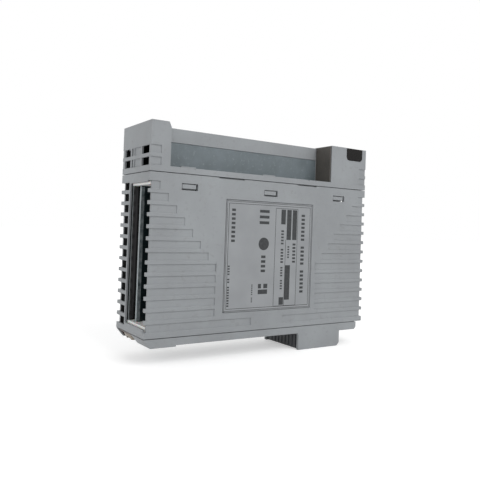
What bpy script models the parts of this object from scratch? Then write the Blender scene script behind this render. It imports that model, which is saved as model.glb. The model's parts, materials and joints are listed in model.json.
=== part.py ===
"""Input module for a rack-mounted industrial controller, as separate pieces.

Sizes are in millimetres and MM turns them into metres when a mesh is made. Places are written
as (x, y, z) from the module's own corner: x along the long side from the lower end, y across
from the label side, z from the rear face of the base towards the front. at() moves them to the
part's frame, whose origin is the middle of the bounding box at the mouth of the rear hood.
"""
import math

import bmesh
import bpy
from mathutils import Matrix, Vector

MM = 0.001

# overall
LENGTH = 130.0           # long side, lower end to upper end
WIDTH = 32.8             # across, label side to far side
CASE_DEPTH = 99.5        # rear face of the base to the front face
HOOD_DEPTH = 8.0         # how far the rear hood stands behind the base
FRONT_HEIGHT = 22.5      # front housing, front face back to the parting line
BASE_HEIGHT = 4.0        # rim of the rear base
WALL = 1.8
END_WALL = 1.0           # thinner, so that the end grilles stay open
GAP = 0.3                # between neighbours that touch

# end grilles and the rows of side grooves that run out of them
ROW_PITCH = 5.21
ROW_SLOT = 3.5
FIRST_ROW = 8.7
ROW_MARGIN = 4.0         # last row stays this far behind the parting line
GROOVE_DEPTH = 0.45
CORNER_CUT = 1.3
STAIR_FIRST = 5.1
STAIR_STEP = 4.24
STAIR_LONGEST = 34.8
LONG_GROOVE = 55.5
POST_WIDTH = 1.2
LADDER_INSET = 2.6       # far edge of the ladder slots to the far side
LADDER_WIDTH = 7.0
WINDOW_FOOT = 8.2
WINDOW_HEAD = 4.6        # window's front edge to the parting line

# snap fits between the front housing and the case
SNAP_SPREAD = 45.3
SNAP_WIDTH = 8.2
SNAP_HEIGHT = 3.0
SNAP_DROP = 4.3          # window's front edge to the parting line
HOOK_THICK = 1.2
HOOK_SINK = 0.35         # hook's nose below the case's face

# shallow slots in the parting line for a tool that opens the case
PRY_SLOTS = ((35.0, 14.0), (82.0, 12.4))
PRY_HEIGHT = 0.5
PRY_DEPTH = 1.0
SILL_NICKS = (21.6, 89.0)

# nameplate
PLATE_WIDTH = 53.2
PLATE_HEIGHT = 53.6
PLATE_LEFT = 39.2
PLATE_FOOT = 13.4
PLATE_RECESS = 0.6
PLATE_THICK = 0.25

# notch for the field wiring adapter
LOWER_BLOCK = 9.6
UPPER_BLOCK = 25.6
NOTCH_WIDTH = 12.0
NOTCH_SILL = 2.8         # above the parting line
NOTCH_WALL = 1.8
LIP_HEIGHT = 7.1
FACE_DROP = 0.5          # connector field below the two end blocks
BLOCK_CHAMFER = (1.2, 2.6)
BARRIER_THICK = 0.55
FRONT_WALL = 1.8

# smoked window over the status lamps
LENS_WIDTH = 11.5
LENS_END = 3.0           # to the upper end face
LENS_HEIGHT = 6.6
LENS_RETURN = 8.8
LENS_THICK = 1.5
LENS_RADIUS = 1.8
LAMP_COUNT = 4
LAMP_PITCH = 2.5

# circuit boards
BOARD_THICK = 1.6
BOARD_CLEAR = 1.5        # board ends to the end walls
IO_BOARD_Y = 16.4
IO_BOARD_FOOT = 6.0
IO_BOARD_HEAD = 2.9      # below the front face
LOGIC_BOARD_Y = 27.2
LOGIC_BOARD_FOOT = 7.5
LOGIC_BOARD_HEAD = 4.5   # below the parting line
LOGIC_BOARD_CLEAR = 4.2
STANDOFF_INSET = (17.0, 10.0)
STANDOFF_RADIUS = 2.6
BOARD_SCREW_RADIUS = 1.2
BOARD_SCREW_HEAD = (2.2, 1.4)

# nylon guides that hold the board ends
GUIDE_LENGTH = 7.0
GUIDE_REACH = 22.2
GUIDE_SKIN = 0.9
GUIDE_HEIGHT = 3.6
GUIDE_SHOW = 1.0         # how far a guide stands into the end window

# photocouplers and other board parts: size is along x, y and z
COUPLER_COUNT = 8
COUPLER_SIZE = (7.6, 3.2, 10.4)
COUPLER_PITCH = 10.6
COUPLER_FOOT = 54.0
TRANSFORMER_SIZE = (15.0, 9.0, 14.0)
CAPACITOR_RADIUS = 4.0
CAPACITOR_LENGTH = 9.0
CHIP_THICK = 1.6

# field connector
SOCKET_LENGTH = 78.0
SOCKET_WIDTH = 10.0
SOCKET_DEPTH = 13.0
SOCKET_WALL = 1.8
POCKET_DEPTH = 9.6
FIELD_PINS = 25
FIELD_PIN_PITCH = 2.54
PIN_SIZE = 0.64
PIN_RISE = 5.4

# rear hood and backplane connector
HOOD_START = 85.5
HOOD_LENGTH = 28.2
HOOD_WIDTH = 29.7
HOOD_WALL = 1.6
HOOD_CHAMFER = 1.6
PLUG_LENGTH = 21.0
PLUG_WIDTH = 14.0
PLUG_MOUTH = 0.8         # broad nose of the plug to the hood's open end
PLUG_INSET = 3.5         # hood mouth side edge to the plug body
PLUG_NOSE = 7.7
PLUG_SLOT = (18.0, 6.4)
PLUG_ROWS = 4.6          # plug middle to the middle of each contact slot
BLADE_OFFSET = 2.1       # contacts stand against the far side of their slot
BLADE_COUNT = 16
BASE_END_INSET = 4.0
BASE_CHAMFER = 3.3
BASE_STEP = 0.6
BASE_PAD = 15.7
BASE_FLOOR = 2.0
TONGUE_SPREAD = 35.0

# captive fixing screws
LOWER_SCREW = 5.0        # screw axis to the lower end
UPPER_SCREW = 11.0       # screw axis to the upper end
SCREW_Y = 24.8
SCREW_RADIUS = 1.95
SCREW_HEAD_RADIUS = 3.5
SCREW_HEAD_HEIGHT = 2.8
SCREW_TRAVEL = 6.0
SCREW_TIP = 0.1          # tip behind the rear face when the screw is drawn out
BORE_RADIUS = 2.4
COUNTERBORE_RADIUS = 3.9
TOWER_RADIUS = 4.6
TOWER_SEAT = 2.0
RING_RADIUS = 3.2
RING_THICK = 0.8
RING_NECK = 1.35
BUSH_RADIUS = 3.6
BUSH_PROUD = 0.2         # how far a bush stands behind the rear face
SEAT_BLOCK = (9.5, 14.2, 31.0)    # opening for the lower bush: along x, then y from and to
SEAT_SKIN = 0.8          # flanges of the lower bush

PARTING = CASE_DEPTH - FRONT_HEIGHT
NOTCH_END = LENGTH - UPPER_BLOCK
NOTCH_FLOOR = PARTING + NOTCH_SILL
ROW_COUNT = int((PARTING - ROW_MARGIN - FIRST_ROW) / ROW_PITCH) + 1
ROWS = [FIRST_ROW + ROW_PITCH * k for k in range(ROW_COUNT)]
FRONT_ROWS = [ROWS[-1] + ROW_PITCH * k for k in (2, 3)]
LADDER_FAR = WIDTH - LADDER_INSET
LADDER_NEAR = LADDER_FAR - LADDER_WIDTH
SNAPS = [LENGTH / 2 + SNAP_SPREAD * k for k in (-1, 0, 1)]
SCREWS = {"lower": LOWER_SCREW, "upper": LENGTH - UPPER_SCREW}
HEAD_SEAT = CASE_DEPTH - GAP - SCREW_HEAD_HEIGHT - SCREW_TRAVEL - GAP
TOWER_FOOT = HEAD_SEAT - TOWER_SEAT
SOCKET_START = (LOWER_BLOCK + NOTCH_END - SOCKET_LENGTH) / 2
SOCKET_Y = IO_BOARD_Y + BOARD_THICK + GAP
LENS_START = LENGTH - LENS_END - LENS_WIDTH
PLUG_START = HOOD_START + PLUG_INSET
PLUG_Y = (HOOD_WIDTH - PLUG_WIDTH) / 2
OVER = 1.0               # how far a cutter runs past the surface it opens


def at(x, y, z):
    """Turn a place on the module into a place in the part's frame, in metres."""
    return Vector((x - LENGTH / 2, y - WIDTH / 2, z + HOOD_DEPTH)) * MM


def clear_scene():
    for old in list(bpy.data.objects):
        bpy.data.objects.remove(old, do_unlink=True)


def srgb(hex_colour):
    channels = [int(hex_colour[i:i + 2], 16) / 255 for i in (0, 2, 4)]
    linear = [c / 12.92 if c <= 0.04045 else ((c + 0.055) / 1.055) ** 2.4 for c in channels]
    return (*linear, 1.0)


def make_material(name, hex_colour, roughness, metallic=0.0, alpha=1.0):
    material = bpy.data.materials.new(name)
    material.use_nodes = True
    shader = material.node_tree.nodes["Principled BSDF"]
    shader.inputs["Base Color"].default_value = srgb(hex_colour)
    shader.inputs["Roughness"].default_value = roughness
    shader.inputs["Metallic"].default_value = metallic
    shader.inputs["Alpha"].default_value = alpha
    return material


def make_materials():
    return {
        "case": make_material("light_grey_abs", "A9ABAD", 0.55),
        "barrier": make_material("blue_grey_pbt", "858F95", 0.5),
        "dark": make_material("dark_grey_pbt", "45423D", 0.5),
        "plate": make_material("printed_film", "A4A8AB", 0.4),
        "lens": make_material("smoked_polycarbonate", "2C2D30", 0.15, alpha=0.8),
        "clear": make_material("clear_acrylic", "D8DDE0", 0.1, alpha=0.5),
        "lamp": make_material("lamp_epoxy", "7FB07A", 0.3),
        "board": make_material("solder_mask", "1F3A36", 0.35),
        "nylon": make_material("white_nylon", "F0F0EC", 0.45),
        "chip": make_material("black_epoxy", "202123", 0.45),
        "ferrite": make_material("taped_coil", "6B5A2C", 0.5),
        "can": make_material("aluminium_can", "B8BBBE", 0.35, 1.0),
        "steel": make_material("blackened_steel", "6A6A6C", 0.35, 1.0),
        "zinc": make_material("chromated_zinc", "8C7B63", 0.4, 1.0),
        "gold": make_material("gold_plate", "C9A352", 0.25, 1.0),
    }


def add_object(name, mesh, material, location=(0, 0, 0), rotation=(0, 0, 0)):
    piece = bpy.data.objects.new(name, mesh)
    piece.location = location
    piece.rotation_euler = rotation
    if material and not mesh.materials:
        mesh.materials.append(material)
    bpy.context.collection.objects.link(piece)
    return piece


def block_mesh(name, blocks):
    """One mesh of boxes, each given as x0, x1, y0, y1, z0, z1 on the module."""
    mesh = bpy.data.meshes.new(name)
    bm = bmesh.new()
    for x0, x1, y0, y1, z0, z1 in blocks:
        low, high = at(x0, y0, z0), at(x1, y1, z1)
        middle = Matrix.Translation((low + high) / 2)
        size = Matrix.Diagonal((*(high - low), 1.0))
        bmesh.ops.create_cube(bm, size=1.0, matrix=middle @ size)
    bm.to_mesh(mesh)
    bm.free()
    return mesh


def add_block(name, block, material):
    return add_object(name, block_mesh(name, [block]), material)


def prism_mesh(name, outline, direction, start, end):
    """Extrude an outline along x, y or z; its points fill the two other axes in order."""
    def point(a, b, along):
        if direction == "x":
            return at(along, a, b)
        if direction == "y":
            return at(a, along, b)
        return at(a, b, along)

    mesh = bpy.data.meshes.new(name)
    bm = bmesh.new()
    face = bm.faces.new([bm.verts.new(point(a, b, start)) for a, b in outline])
    extruded = bmesh.ops.extrude_face_region(bm, geom=[face])
    moved = [item for item in extruded["geom"] if isinstance(item, bmesh.types.BMVert)]
    bmesh.ops.translate(bm, verts=moved, vec=point(0, 0, end) - point(0, 0, start))
    bmesh.ops.recalc_face_normals(bm, faces=bm.faces)
    bm.to_mesh(mesh)
    bm.free()
    return mesh


def turned_mesh(name, profile, segments=24):
    """Turn a profile of (radius, height) pairs, foot to head, about its own z axis."""
    mesh = bpy.data.meshes.new(name)
    bm = bmesh.new()
    rings = []
    for radius, height in profile:
        angles = [2 * math.pi * i / segments for i in range(segments)]
        ring = [Vector((radius * math.cos(a), radius * math.sin(a), height)) * MM for a in angles]
        rings.append([bm.verts.new(v) for v in ring])
    for low, high in zip(rings, rings[1:]):
        for i in range(segments):
            j = (i + 1) % segments
            bm.faces.new((low[i], low[j], high[j], high[i]))
    bm.faces.new(list(reversed(rings[0])))
    bm.faces.new(rings[-1])
    bm.to_mesh(mesh)
    bm.free()
    mesh.shade_smooth()
    mesh.set_sharp_from_angle(angle=math.radians(35))
    return mesh


def tube_mesh(name, outer, inner, length, segments=24):
    """A ring or bush about its own z axis, standing on z = 0."""
    mesh = bpy.data.meshes.new(name)
    bm = bmesh.new()
    corners = [(outer, 0), (outer, length), (inner, length), (inner, 0)]
    rings = []
    for radius, height in corners:
        angles = [2 * math.pi * i / segments for i in range(segments)]
        ring = [Vector((radius * math.cos(a), radius * math.sin(a), height)) * MM for a in angles]
        rings.append([bm.verts.new(v) for v in ring])
    for low, high in zip(rings, rings[1:] + rings[:1]):
        for i in range(segments):
            j = (i + 1) % segments
            bm.faces.new((low[i], low[j], high[j], high[i]))
    bm.to_mesh(mesh)
    bm.free()
    mesh.shade_smooth()
    mesh.set_sharp_from_angle(angle=math.radians(35))
    return mesh


def shape(piece, tool_mesh, operation, location=(0, 0, 0), rotation=(0, 0, 0)):
    """Cut or join a mesh with an exact Boolean modifier; the tool stays as a wire guide."""
    tool = add_object(tool_mesh.name, tool_mesh, None, location, rotation)
    tool.hide_render = True
    tool.display_type = "WIRE"
    modifier = piece.modifiers.new(tool_mesh.name, "BOOLEAN")
    modifier.solver = "EXACT"
    modifier.operation = operation
    modifier.object = tool


def cut_blocks(piece, label, blocks):
    shape(piece, block_mesh(f"{piece.name}_{label}", blocks), "DIFFERENCE")


def join_blocks(piece, label, blocks):
    shape(piece, block_mesh(f"{piece.name}_{label}", blocks), "UNION")


def mirrored(blocks):
    """The same blocks at the upper end of the module."""
    return [(LENGTH - x1, LENGTH - x0, y0, y1, z0, z1) for x0, x1, y0, y1, z0, z1 in blocks]


def groove_end(row):
    if row == 0:
        return LONG_GROOVE
    return min(STAIR_FIRST + STAIR_STEP * (ROW_COUNT - 1 - row), STAIR_LONGEST)


def row_span(z):
    return z - ROW_SLOT / 2, z + ROW_SLOT / 2


def snap_span():
    return PARTING - SNAP_DROP - SNAP_HEIGHT, PARTING - SNAP_DROP


def make_rear_case(materials):
    """Deep sleeve round the boards, open at the front and rear, with a grille at each end."""
    foot = BASE_HEIGHT + GAP
    head = PARTING - GAP / 2
    case = add_block("rear_case", (0, LENGTH, 0, WIDTH, foot, head), materials["case"])
    inside = (END_WALL, LENGTH - END_WALL, WALL, WIDTH - WALL, foot - OVER, head + OVER)
    cut_blocks(case, "inside", [inside])
    floor_start = LENGTH - BASE_END_INSET - WALL
    floor = (floor_start, LENGTH - END_WALL / 2, WALL / 2, WIDTH - WALL / 2, foot, foot + 1.2)
    join_blocks(case, "end_floor", [floor])

    through = (-OVER, END_WALL + 0.4)
    window = (*through, WALL, LADDER_NEAR - POST_WIDTH, WINDOW_FOOT, PARTING - WINDOW_HEAD)
    ladder = [(*through, LADDER_NEAR, LADDER_FAR, *row_span(z)) for z in ROWS]
    openings = [window] + ladder
    cut_blocks(case, "grilles", openings + mirrored(openings))

    corners = []
    for z in ROWS:
        corners.append((-OVER, CORNER_CUT, -OVER, WALL + 0.2, *row_span(z)))
        corners.append((-OVER, CORNER_CUT, LADDER_FAR - 0.2, WIDTH + OVER, *row_span(z)))
    cut_blocks(case, "corners", corners + mirrored(corners))

    grooves = []
    for row, z in enumerate(ROWS):
        grooves.append((-OVER, groove_end(row), -OVER, GROOVE_DEPTH, *row_span(z)))
        grooves.append((-OVER, groove_end(row), WIDTH - GROOVE_DEPTH, WIDTH + OVER, *row_span(z)))
    cut_blocks(case, "grooves", grooves + mirrored(grooves))

    snaps = []
    for x in SNAPS:
        side = (x - SNAP_WIDTH / 2, x + SNAP_WIDTH / 2)
        snaps.append((*side, -OVER, WALL + OVER, *snap_span()))
        snaps.append((*side, WIDTH - WALL - OVER, WIDTH + OVER, *snap_span()))
    cut_blocks(case, "snap_windows", snaps)

    recess = (PLATE_LEFT, PLATE_LEFT + PLATE_WIDTH, -OVER, PLATE_RECESS,
              PLATE_FOOT, PLATE_FOOT + PLATE_HEIGHT)
    cut_blocks(case, "plate_recess", [recess])
    pry = [(x, x + length, -OVER, PRY_DEPTH, head - PRY_HEIGHT, head + OVER)
           for x, length in PRY_SLOTS]
    cut_blocks(case, "pry_slots", pry)


def make_nameplate(materials):
    """Printed film, let into the label side."""
    add_block("nameplate",
              (PLATE_LEFT + GAP, PLATE_LEFT + PLATE_WIDTH - GAP, PLATE_RECESS - GAP - PLATE_THICK,
               PLATE_RECESS - GAP, PLATE_FOOT + GAP, PLATE_FOOT + PLATE_HEIGHT - GAP),
              materials["plate"])


def lens_outline(clearance):
    """The window seen on the label side: square at the front face, round at its rear corners."""
    left, right = LENS_START - clearance, LENS_START + LENS_WIDTH + clearance
    foot = CASE_DEPTH - LENS_HEIGHT - clearance
    head = CASE_DEPTH - GAP / 6
    radius = LENS_RADIUS + clearance
    points = [(right, head + (OVER if clearance else 0)), (left, head + (OVER if clearance else 0))]
    for centre, start in ((left + radius, 180), (right - radius, 270)):
        for step in range(5):
            angle = math.radians(start + 22.5 * step)
            points.append((centre + radius * math.cos(angle), foot + radius + radius * math.sin(angle)))
    return points


def make_front_housing(materials):
    """Front cover: an end block at each end, the adapter notch and the connector field between."""
    foot = PARTING + GAP / 2
    roof = CASE_DEPTH - FACE_DROP - FRONT_WALL
    housing = add_block("front_housing", (0, LENGTH, 0, WIDTH, foot, CASE_DEPTH), materials["case"])
    notch = (LOWER_BLOCK, NOTCH_END, -OVER, NOTCH_WIDTH, NOTCH_FLOOR, CASE_DEPTH + OVER)
    cut_blocks(housing, "notch", [notch])
    behind_notch = NOTCH_WIDTH + NOTCH_WALL
    cut_blocks(housing, "inside", [(END_WALL, LENGTH - END_WALL, behind_notch, WIDTH - WALL,
                                    foot - OVER, roof)])
    ends = [(END_WALL, LOWER_BLOCK - WALL), (NOTCH_END + WALL, LENGTH - END_WALL)]
    cut_blocks(housing, "end_blocks",
               [(*end, WALL, behind_notch + 0.4, foot - OVER, roof) for end in ends])
    field = (LOWER_BLOCK, NOTCH_END, NOTCH_WIDTH - OVER, WIDTH + OVER,
             CASE_DEPTH - FACE_DROP, CASE_DEPTH + OVER)
    cut_blocks(housing, "connector_field", [field])
    run, drop = BLOCK_CHAMFER
    wedge = [(LOWER_BLOCK - run, CASE_DEPTH + 0.01), (LOWER_BLOCK + OVER, CASE_DEPTH + 0.01),
             (LOWER_BLOCK + OVER, CASE_DEPTH - drop), (LOWER_BLOCK + 0.01, CASE_DEPTH - drop)]
    shape(housing, prism_mesh("front_housing_chamfer", wedge, "y", -OVER, NOTCH_WIDTH), "DIFFERENCE")

    socket = (SOCKET_START - GAP, SOCKET_START + SOCKET_LENGTH + GAP,
              SOCKET_Y - GAP, SOCKET_Y + SOCKET_WIDTH + GAP, roof - OVER, CASE_DEPTH + OVER)
    cut_blocks(housing, "socket_opening", [socket])

    lens = prism_mesh("front_housing_lens_side", lens_outline(0.2), "y", -OVER, LENS_THICK + 0.6)
    shape(housing, lens, "DIFFERENCE")
    lens_top = (LENS_START - 0.2, LENS_START + LENS_WIDTH + 0.2, -OVER, LENS_RETURN + 0.2,
                roof - OVER, CASE_DEPTH + OVER)
    cut_blocks(housing, "lens_top", [lens_top])

    nicks = [(x - 0.5, x + 0.5, -OVER, 0.6, NOTCH_FLOOR - 0.5, NOTCH_FLOOR + OVER)
             for x in SILL_NICKS]
    cut_blocks(housing, "sill_nicks", nicks)

    barrier = (LOWER_BLOCK + GAP, NOTCH_END - GAP - BARRIER_THICK - GAP, NOTCH_WIDTH - OVER,
               NOTCH_WIDTH + BARRIER_THICK + 0.05 + GAP, NOTCH_FLOOR + GAP,
               CASE_DEPTH - LIP_HEIGHT)
    cut_blocks(housing, "barrier_recess", [barrier])

    vents, marks = [], []
    for z in FRONT_ROWS:
        low, high = row_span(z)
        for near, far in ((WALL, 10.0), (LADDER_NEAR - 3.2, LADDER_NEAR - 1.6), (LADDER_NEAR, LADDER_FAR)):
            vents.append((-OVER, END_WALL + 0.4, near, far, low, high))
        marks.append((-OVER, STAIR_FIRST, -OVER, GROOVE_DEPTH, low, high))
        marks.append((-OVER, STAIR_FIRST, WIDTH - GROOVE_DEPTH, WIDTH + OVER, low, high))
        marks.append((-OVER, 0.5, 10.9, LADDER_NEAR - 4.4, low, high))
    cut_blocks(housing, "vents", vents + mirrored(vents))
    cut_blocks(housing, "marks", marks + mirrored(marks))

    low, high = snap_span()
    arms, roots, noses = [], [], []
    for x in SNAPS:
        side = (x - SNAP_WIDTH / 2 + GAP, x + SNAP_WIDTH / 2 - GAP)
        nose_side = (side[0], side[1] - 0.5)
        for inner, outer in ((WALL + GAP + HOOK_THICK, HOOK_SINK),
                             (WIDTH - WALL - GAP - HOOK_THICK, WIDTH - HOOK_SINK)):
            inward = 1 if outer < inner else -1
            face = inner - inward * HOOK_THICK
            arms.append((*side, *sorted((inner, face)), low + GAP, foot + 3.4))
            roots.append((*side, *sorted((inner, face - inward * 1.2)), foot + 0.3, foot + 2.4))
            noses.append((*nose_side, *sorted((face + inward * 0.3, outer)), low + 0.7, high - GAP))
    join_blocks(housing, "hook_arms", arms)
    join_blocks(housing, "hook_roots", roots)
    join_blocks(housing, "hook_noses", noses)

    for end, x in SCREWS.items():
        tower = turned_mesh(f"front_housing_{end}_tower",
                            [(TOWER_RADIUS, TOWER_FOOT), (TOWER_RADIUS, roof + 0.6)])
        shape(housing, tower, "UNION", at(x, SCREW_Y, 0))
        bore = turned_mesh(f"front_housing_{end}_bore", [
            (BORE_RADIUS, TOWER_FOOT - OVER), (BORE_RADIUS, HEAD_SEAT),
            (COUNTERBORE_RADIUS, HEAD_SEAT), (COUNTERBORE_RADIUS, CASE_DEPTH + OVER)])
        shape(housing, bore, "DIFFERENCE", at(x, SCREW_Y, 0))


def make_notch_plates(materials):
    """Insulating plate let into the notch's back wall, and the dark plate at its upper end."""
    back = NOTCH_WIDTH + 0.05
    add_block("notch_barrier",
              (LOWER_BLOCK + 2 * GAP, NOTCH_END - BARRIER_THICK - 3 * GAP, back, back + BARRIER_THICK,
               NOTCH_FLOOR + 2 * GAP, CASE_DEPTH - LIP_HEIGHT - GAP),
              materials["barrier"])
    add_block("notch_end_plate",
              (NOTCH_END - GAP - BARRIER_THICK, NOTCH_END - GAP, GAP, NOTCH_WIDTH - GAP,
               NOTCH_FLOOR + GAP, CASE_DEPTH - GAP),
              materials["dark"])


def make_lens(materials):
    """Smoked window that turns round the front edge, with the lamps' light guide behind it."""
    lens = add_object("led_window", prism_mesh("led_window", lens_outline(0), "y", 0.05, LENS_THICK),
                      materials["lens"])
    head = CASE_DEPTH - GAP / 6
    join_blocks(lens, "return", [(LENS_START, LENS_START + LENS_WIDTH, 0.4, LENS_RETURN,
                                  head - LENS_THICK, head)])
    lamps_middle = LENS_START + LENS_WIDTH / 2
    reach = LAMP_PITCH * LAMP_COUNT / 2
    guide_head = CASE_DEPTH - FACE_DROP - FRONT_WALL - GAP
    lamp_front = IO_BOARD_Y - GAP - 1.1
    add_block("led_light_guide",
              (lamps_middle - reach, lamps_middle + reach, WALL + GAP, lamp_front - GAP,
               guide_head - 3.2, guide_head), materials["clear"])
    for i in range(LAMP_COUNT):
        x = lamps_middle + LAMP_PITCH * (i - (LAMP_COUNT - 1) / 2)
        add_block(f"status_led_{i + 1}",
                  (x - 0.8, x + 0.8, lamp_front, IO_BOARD_Y - GAP, guide_head - 2.2, guide_head - 1.0),
                  materials["lamp"])


def make_rear_base(materials):
    """Rear frame with the hood that guides the module onto its backplane connector."""
    end = LENGTH - BASE_END_INSET
    outline = [(0, BASE_HEIGHT), (BASE_CHAMFER, 0), (end - BASE_STEP * 2, 0), (end, BASE_STEP * 2),
               (end, BASE_HEIGHT)]
    base = add_object("rear_base", prism_mesh("rear_base", outline, "y", 0, WIDTH), materials["case"])
    tray = (BASE_CHAMFER + WALL, end - WALL, WALL, WIDTH - WALL, BASE_FLOOR, BASE_HEIGHT + OVER)
    cut_blocks(base, "tray", [tray])
    step = (BASE_PAD, HOOD_START - 0.5, -OVER, WIDTH + OVER, -OVER, BASE_STEP)
    cut_blocks(base, "step", [step])
    seat_end, seat_near, seat_far = SEAT_BLOCK
    cut_blocks(base, "lower_seat", [(-OVER, seat_end, seat_near, seat_far, -OVER, BASE_HEIGHT + OVER)])

    hood_end = HOOD_START + HOOD_LENGTH
    corner = HOOD_CHAMFER
    profile = [(HOOD_START, 1.0), (HOOD_START, -HOOD_DEPTH), (hood_end - corner, -HOOD_DEPTH),
               (hood_end, -HOOD_DEPTH + corner), (hood_end, 1.0)]
    shape(base, prism_mesh("rear_base_hood", profile, "y", 0, HOOD_WIDTH), "UNION")
    hollow = (HOOD_START - OVER, hood_end - HOOD_WALL, HOOD_WALL, HOOD_WIDTH - HOOD_WALL,
              -HOOD_DEPTH - OVER, 0)
    cut_blocks(base, "hood_hollow", [hollow])
    passage = (PLUG_START - GAP, PLUG_START + PLUG_LENGTH + GAP, PLUG_Y - GAP,
               PLUG_Y + PLUG_WIDTH + GAP, -OVER, BASE_HEIGHT)
    cut_blocks(base, "plug_passage", [passage])

    tongues = []
    for x in (LENGTH / 2 - TONGUE_SPREAD, LENGTH / 2 + TONGUE_SPREAD):
        side = (x - 5, x + 5)
        tongues.append((*side, WALL + GAP, WALL + GAP + 1.2, BASE_FLOOR - 0.8, BASE_HEIGHT + 4.5))
        tongues.append((*side, WIDTH - WALL - GAP - 1.2, WIDTH - WALL - GAP, BASE_FLOOR - 0.8,
                        BASE_HEIGHT + 4.5))
    join_blocks(base, "tongues", tongues)

    x = SCREWS["upper"]
    reach = BUSH_RADIUS + GAP + 1.2
    join_blocks(base, "upper_boss", [(x - reach, x + reach, SCREW_Y - reach, SCREW_Y + reach,
                                      BASE_FLOOR - 0.6, BASE_HEIGHT)])
    hole = turned_mesh("rear_base_upper_hole",
                       [(BUSH_RADIUS + GAP, -OVER), (BUSH_RADIUS + GAP, BASE_HEIGHT + OVER)])
    shape(base, hole, "DIFFERENCE", at(x, SCREW_Y, 0))


def make_guides(materials):
    """White nylon bars behind the end windows, slotted for the board ends."""
    board_slot = (IO_BOARD_Y - GAP, IO_BOARD_Y + BOARD_THICK + GAP)
    window_head = PARTING - WINDOW_HEAD
    heights = {"rear": (WINDOW_FOOT + GUIDE_SHOW - GUIDE_HEIGHT, WINDOW_FOOT + GUIDE_SHOW),
               "front": (window_head - GUIDE_SHOW, window_head - GUIDE_SHOW + GUIDE_HEIGHT)}
    start = END_WALL + GAP
    for level, (low, high) in heights.items():
        bar = (start, start + GUIDE_LENGTH, WALL + GAP, GUIDE_REACH, low, high)
        slot = (start + GUIDE_SKIN, start + GUIDE_LENGTH + OVER, *board_slot, low - OVER, high + OVER)
        lower = add_block(f"lower_{level}_board_guide", bar, materials["nylon"])
        cut_blocks(lower, "slot", [slot])
        upper = add_block(f"upper_{level}_board_guide", mirrored([bar])[0], materials["nylon"])
        cut_blocks(upper, "slot", mirrored([slot]))


def standoff_places():
    inset_x, inset_z = STANDOFF_INSET
    low = LOGIC_BOARD_FOOT + inset_z
    high = PARTING - LOGIC_BOARD_HEAD - inset_z
    return [(x, z) for z in (low, high) for x in (inset_x, LENGTH - inset_x)]


def drill_board(board, y):
    along_y = (math.radians(90), 0, 0)
    for i, (x, z) in enumerate(standoff_places()):
        hole = turned_mesh(f"{board.name}_hole_{i + 1}", [
            (BOARD_SCREW_RADIUS + GAP, -OVER), (BOARD_SCREW_RADIUS + GAP, BOARD_THICK + OVER)], 16)
        shape(board, hole, "DIFFERENCE", at(x, y + BOARD_THICK, z), along_y)


def make_boards(materials):
    """Input board that carries both connectors, logic board behind it, and what joins them."""
    ends = WALL + BOARD_CLEAR
    io_board = add_block("io_board",
                         (ends, LENGTH - ends, IO_BOARD_Y, IO_BOARD_Y + BOARD_THICK,
                          IO_BOARD_FOOT, CASE_DEPTH - IO_BOARD_HEAD), materials["board"])
    drill_board(io_board, IO_BOARD_Y)
    logic_board = add_block("logic_board",
                            (LOGIC_BOARD_CLEAR, LENGTH - LOGIC_BOARD_CLEAR, LOGIC_BOARD_Y,
                             LOGIC_BOARD_Y + BOARD_THICK, LOGIC_BOARD_FOOT,
                             PARTING - LOGIC_BOARD_HEAD), materials["board"])
    drill_board(logic_board, LOGIC_BOARD_Y)

    between = (IO_BOARD_Y + BOARD_THICK + GAP, LOGIC_BOARD_Y - GAP)
    add_block("board_link_connector",
              (LENGTH / 2 - 16, LENGTH / 2 + 16, *between, LOGIC_BOARD_FOOT + 4, LOGIC_BOARD_FOOT + 9),
              materials["dark"])
    post_length = between[1] - between[0]
    post = turned_mesh("standoff", [(STANDOFF_RADIUS, 0), (STANDOFF_RADIUS, post_length)], 6)
    head_radius, head_height = BOARD_SCREW_HEAD
    reach = GAP + BOARD_THICK + GAP + 2.4
    screw = turned_mesh("board_screw", [
        (BOARD_SCREW_RADIUS - 0.4, -reach), (BOARD_SCREW_RADIUS, -reach + 0.4),
        (BOARD_SCREW_RADIUS, 0), (head_radius, 0), (head_radius, head_height * 0.6),
        (head_radius * 0.7, head_height)], 16)
    towards_far = (math.radians(-90), 0, 0)
    towards_near = (math.radians(90), 0, 0)
    for i, (x, z) in enumerate(standoff_places()):
        standoff = add_object(f"standoff_{i + 1}", post.copy(), materials["can"],
                              at(x, between[0], z), towards_far)
        for side, depth, turn in (("near", between[0], towards_far),
                                  ("far", between[1], towards_near)):
            hole = turned_mesh(f"standoff_{i + 1}_{side}_hole", [
                (BOARD_SCREW_RADIUS + GAP, -OVER), (BOARD_SCREW_RADIUS + GAP, 3.2)], 16)
            shape(standoff, hole, "DIFFERENCE", at(x, depth, z), turn)
        add_object(f"io_board_screw_{i + 1}", screw, materials["steel"],
                   at(x, IO_BOARD_Y - GAP, z), towards_near)
        add_object(f"logic_board_screw_{i + 1}", screw, materials["steel"],
                   at(x, LOGIC_BOARD_Y + BOARD_THICK + GAP, z), towards_far)


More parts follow.
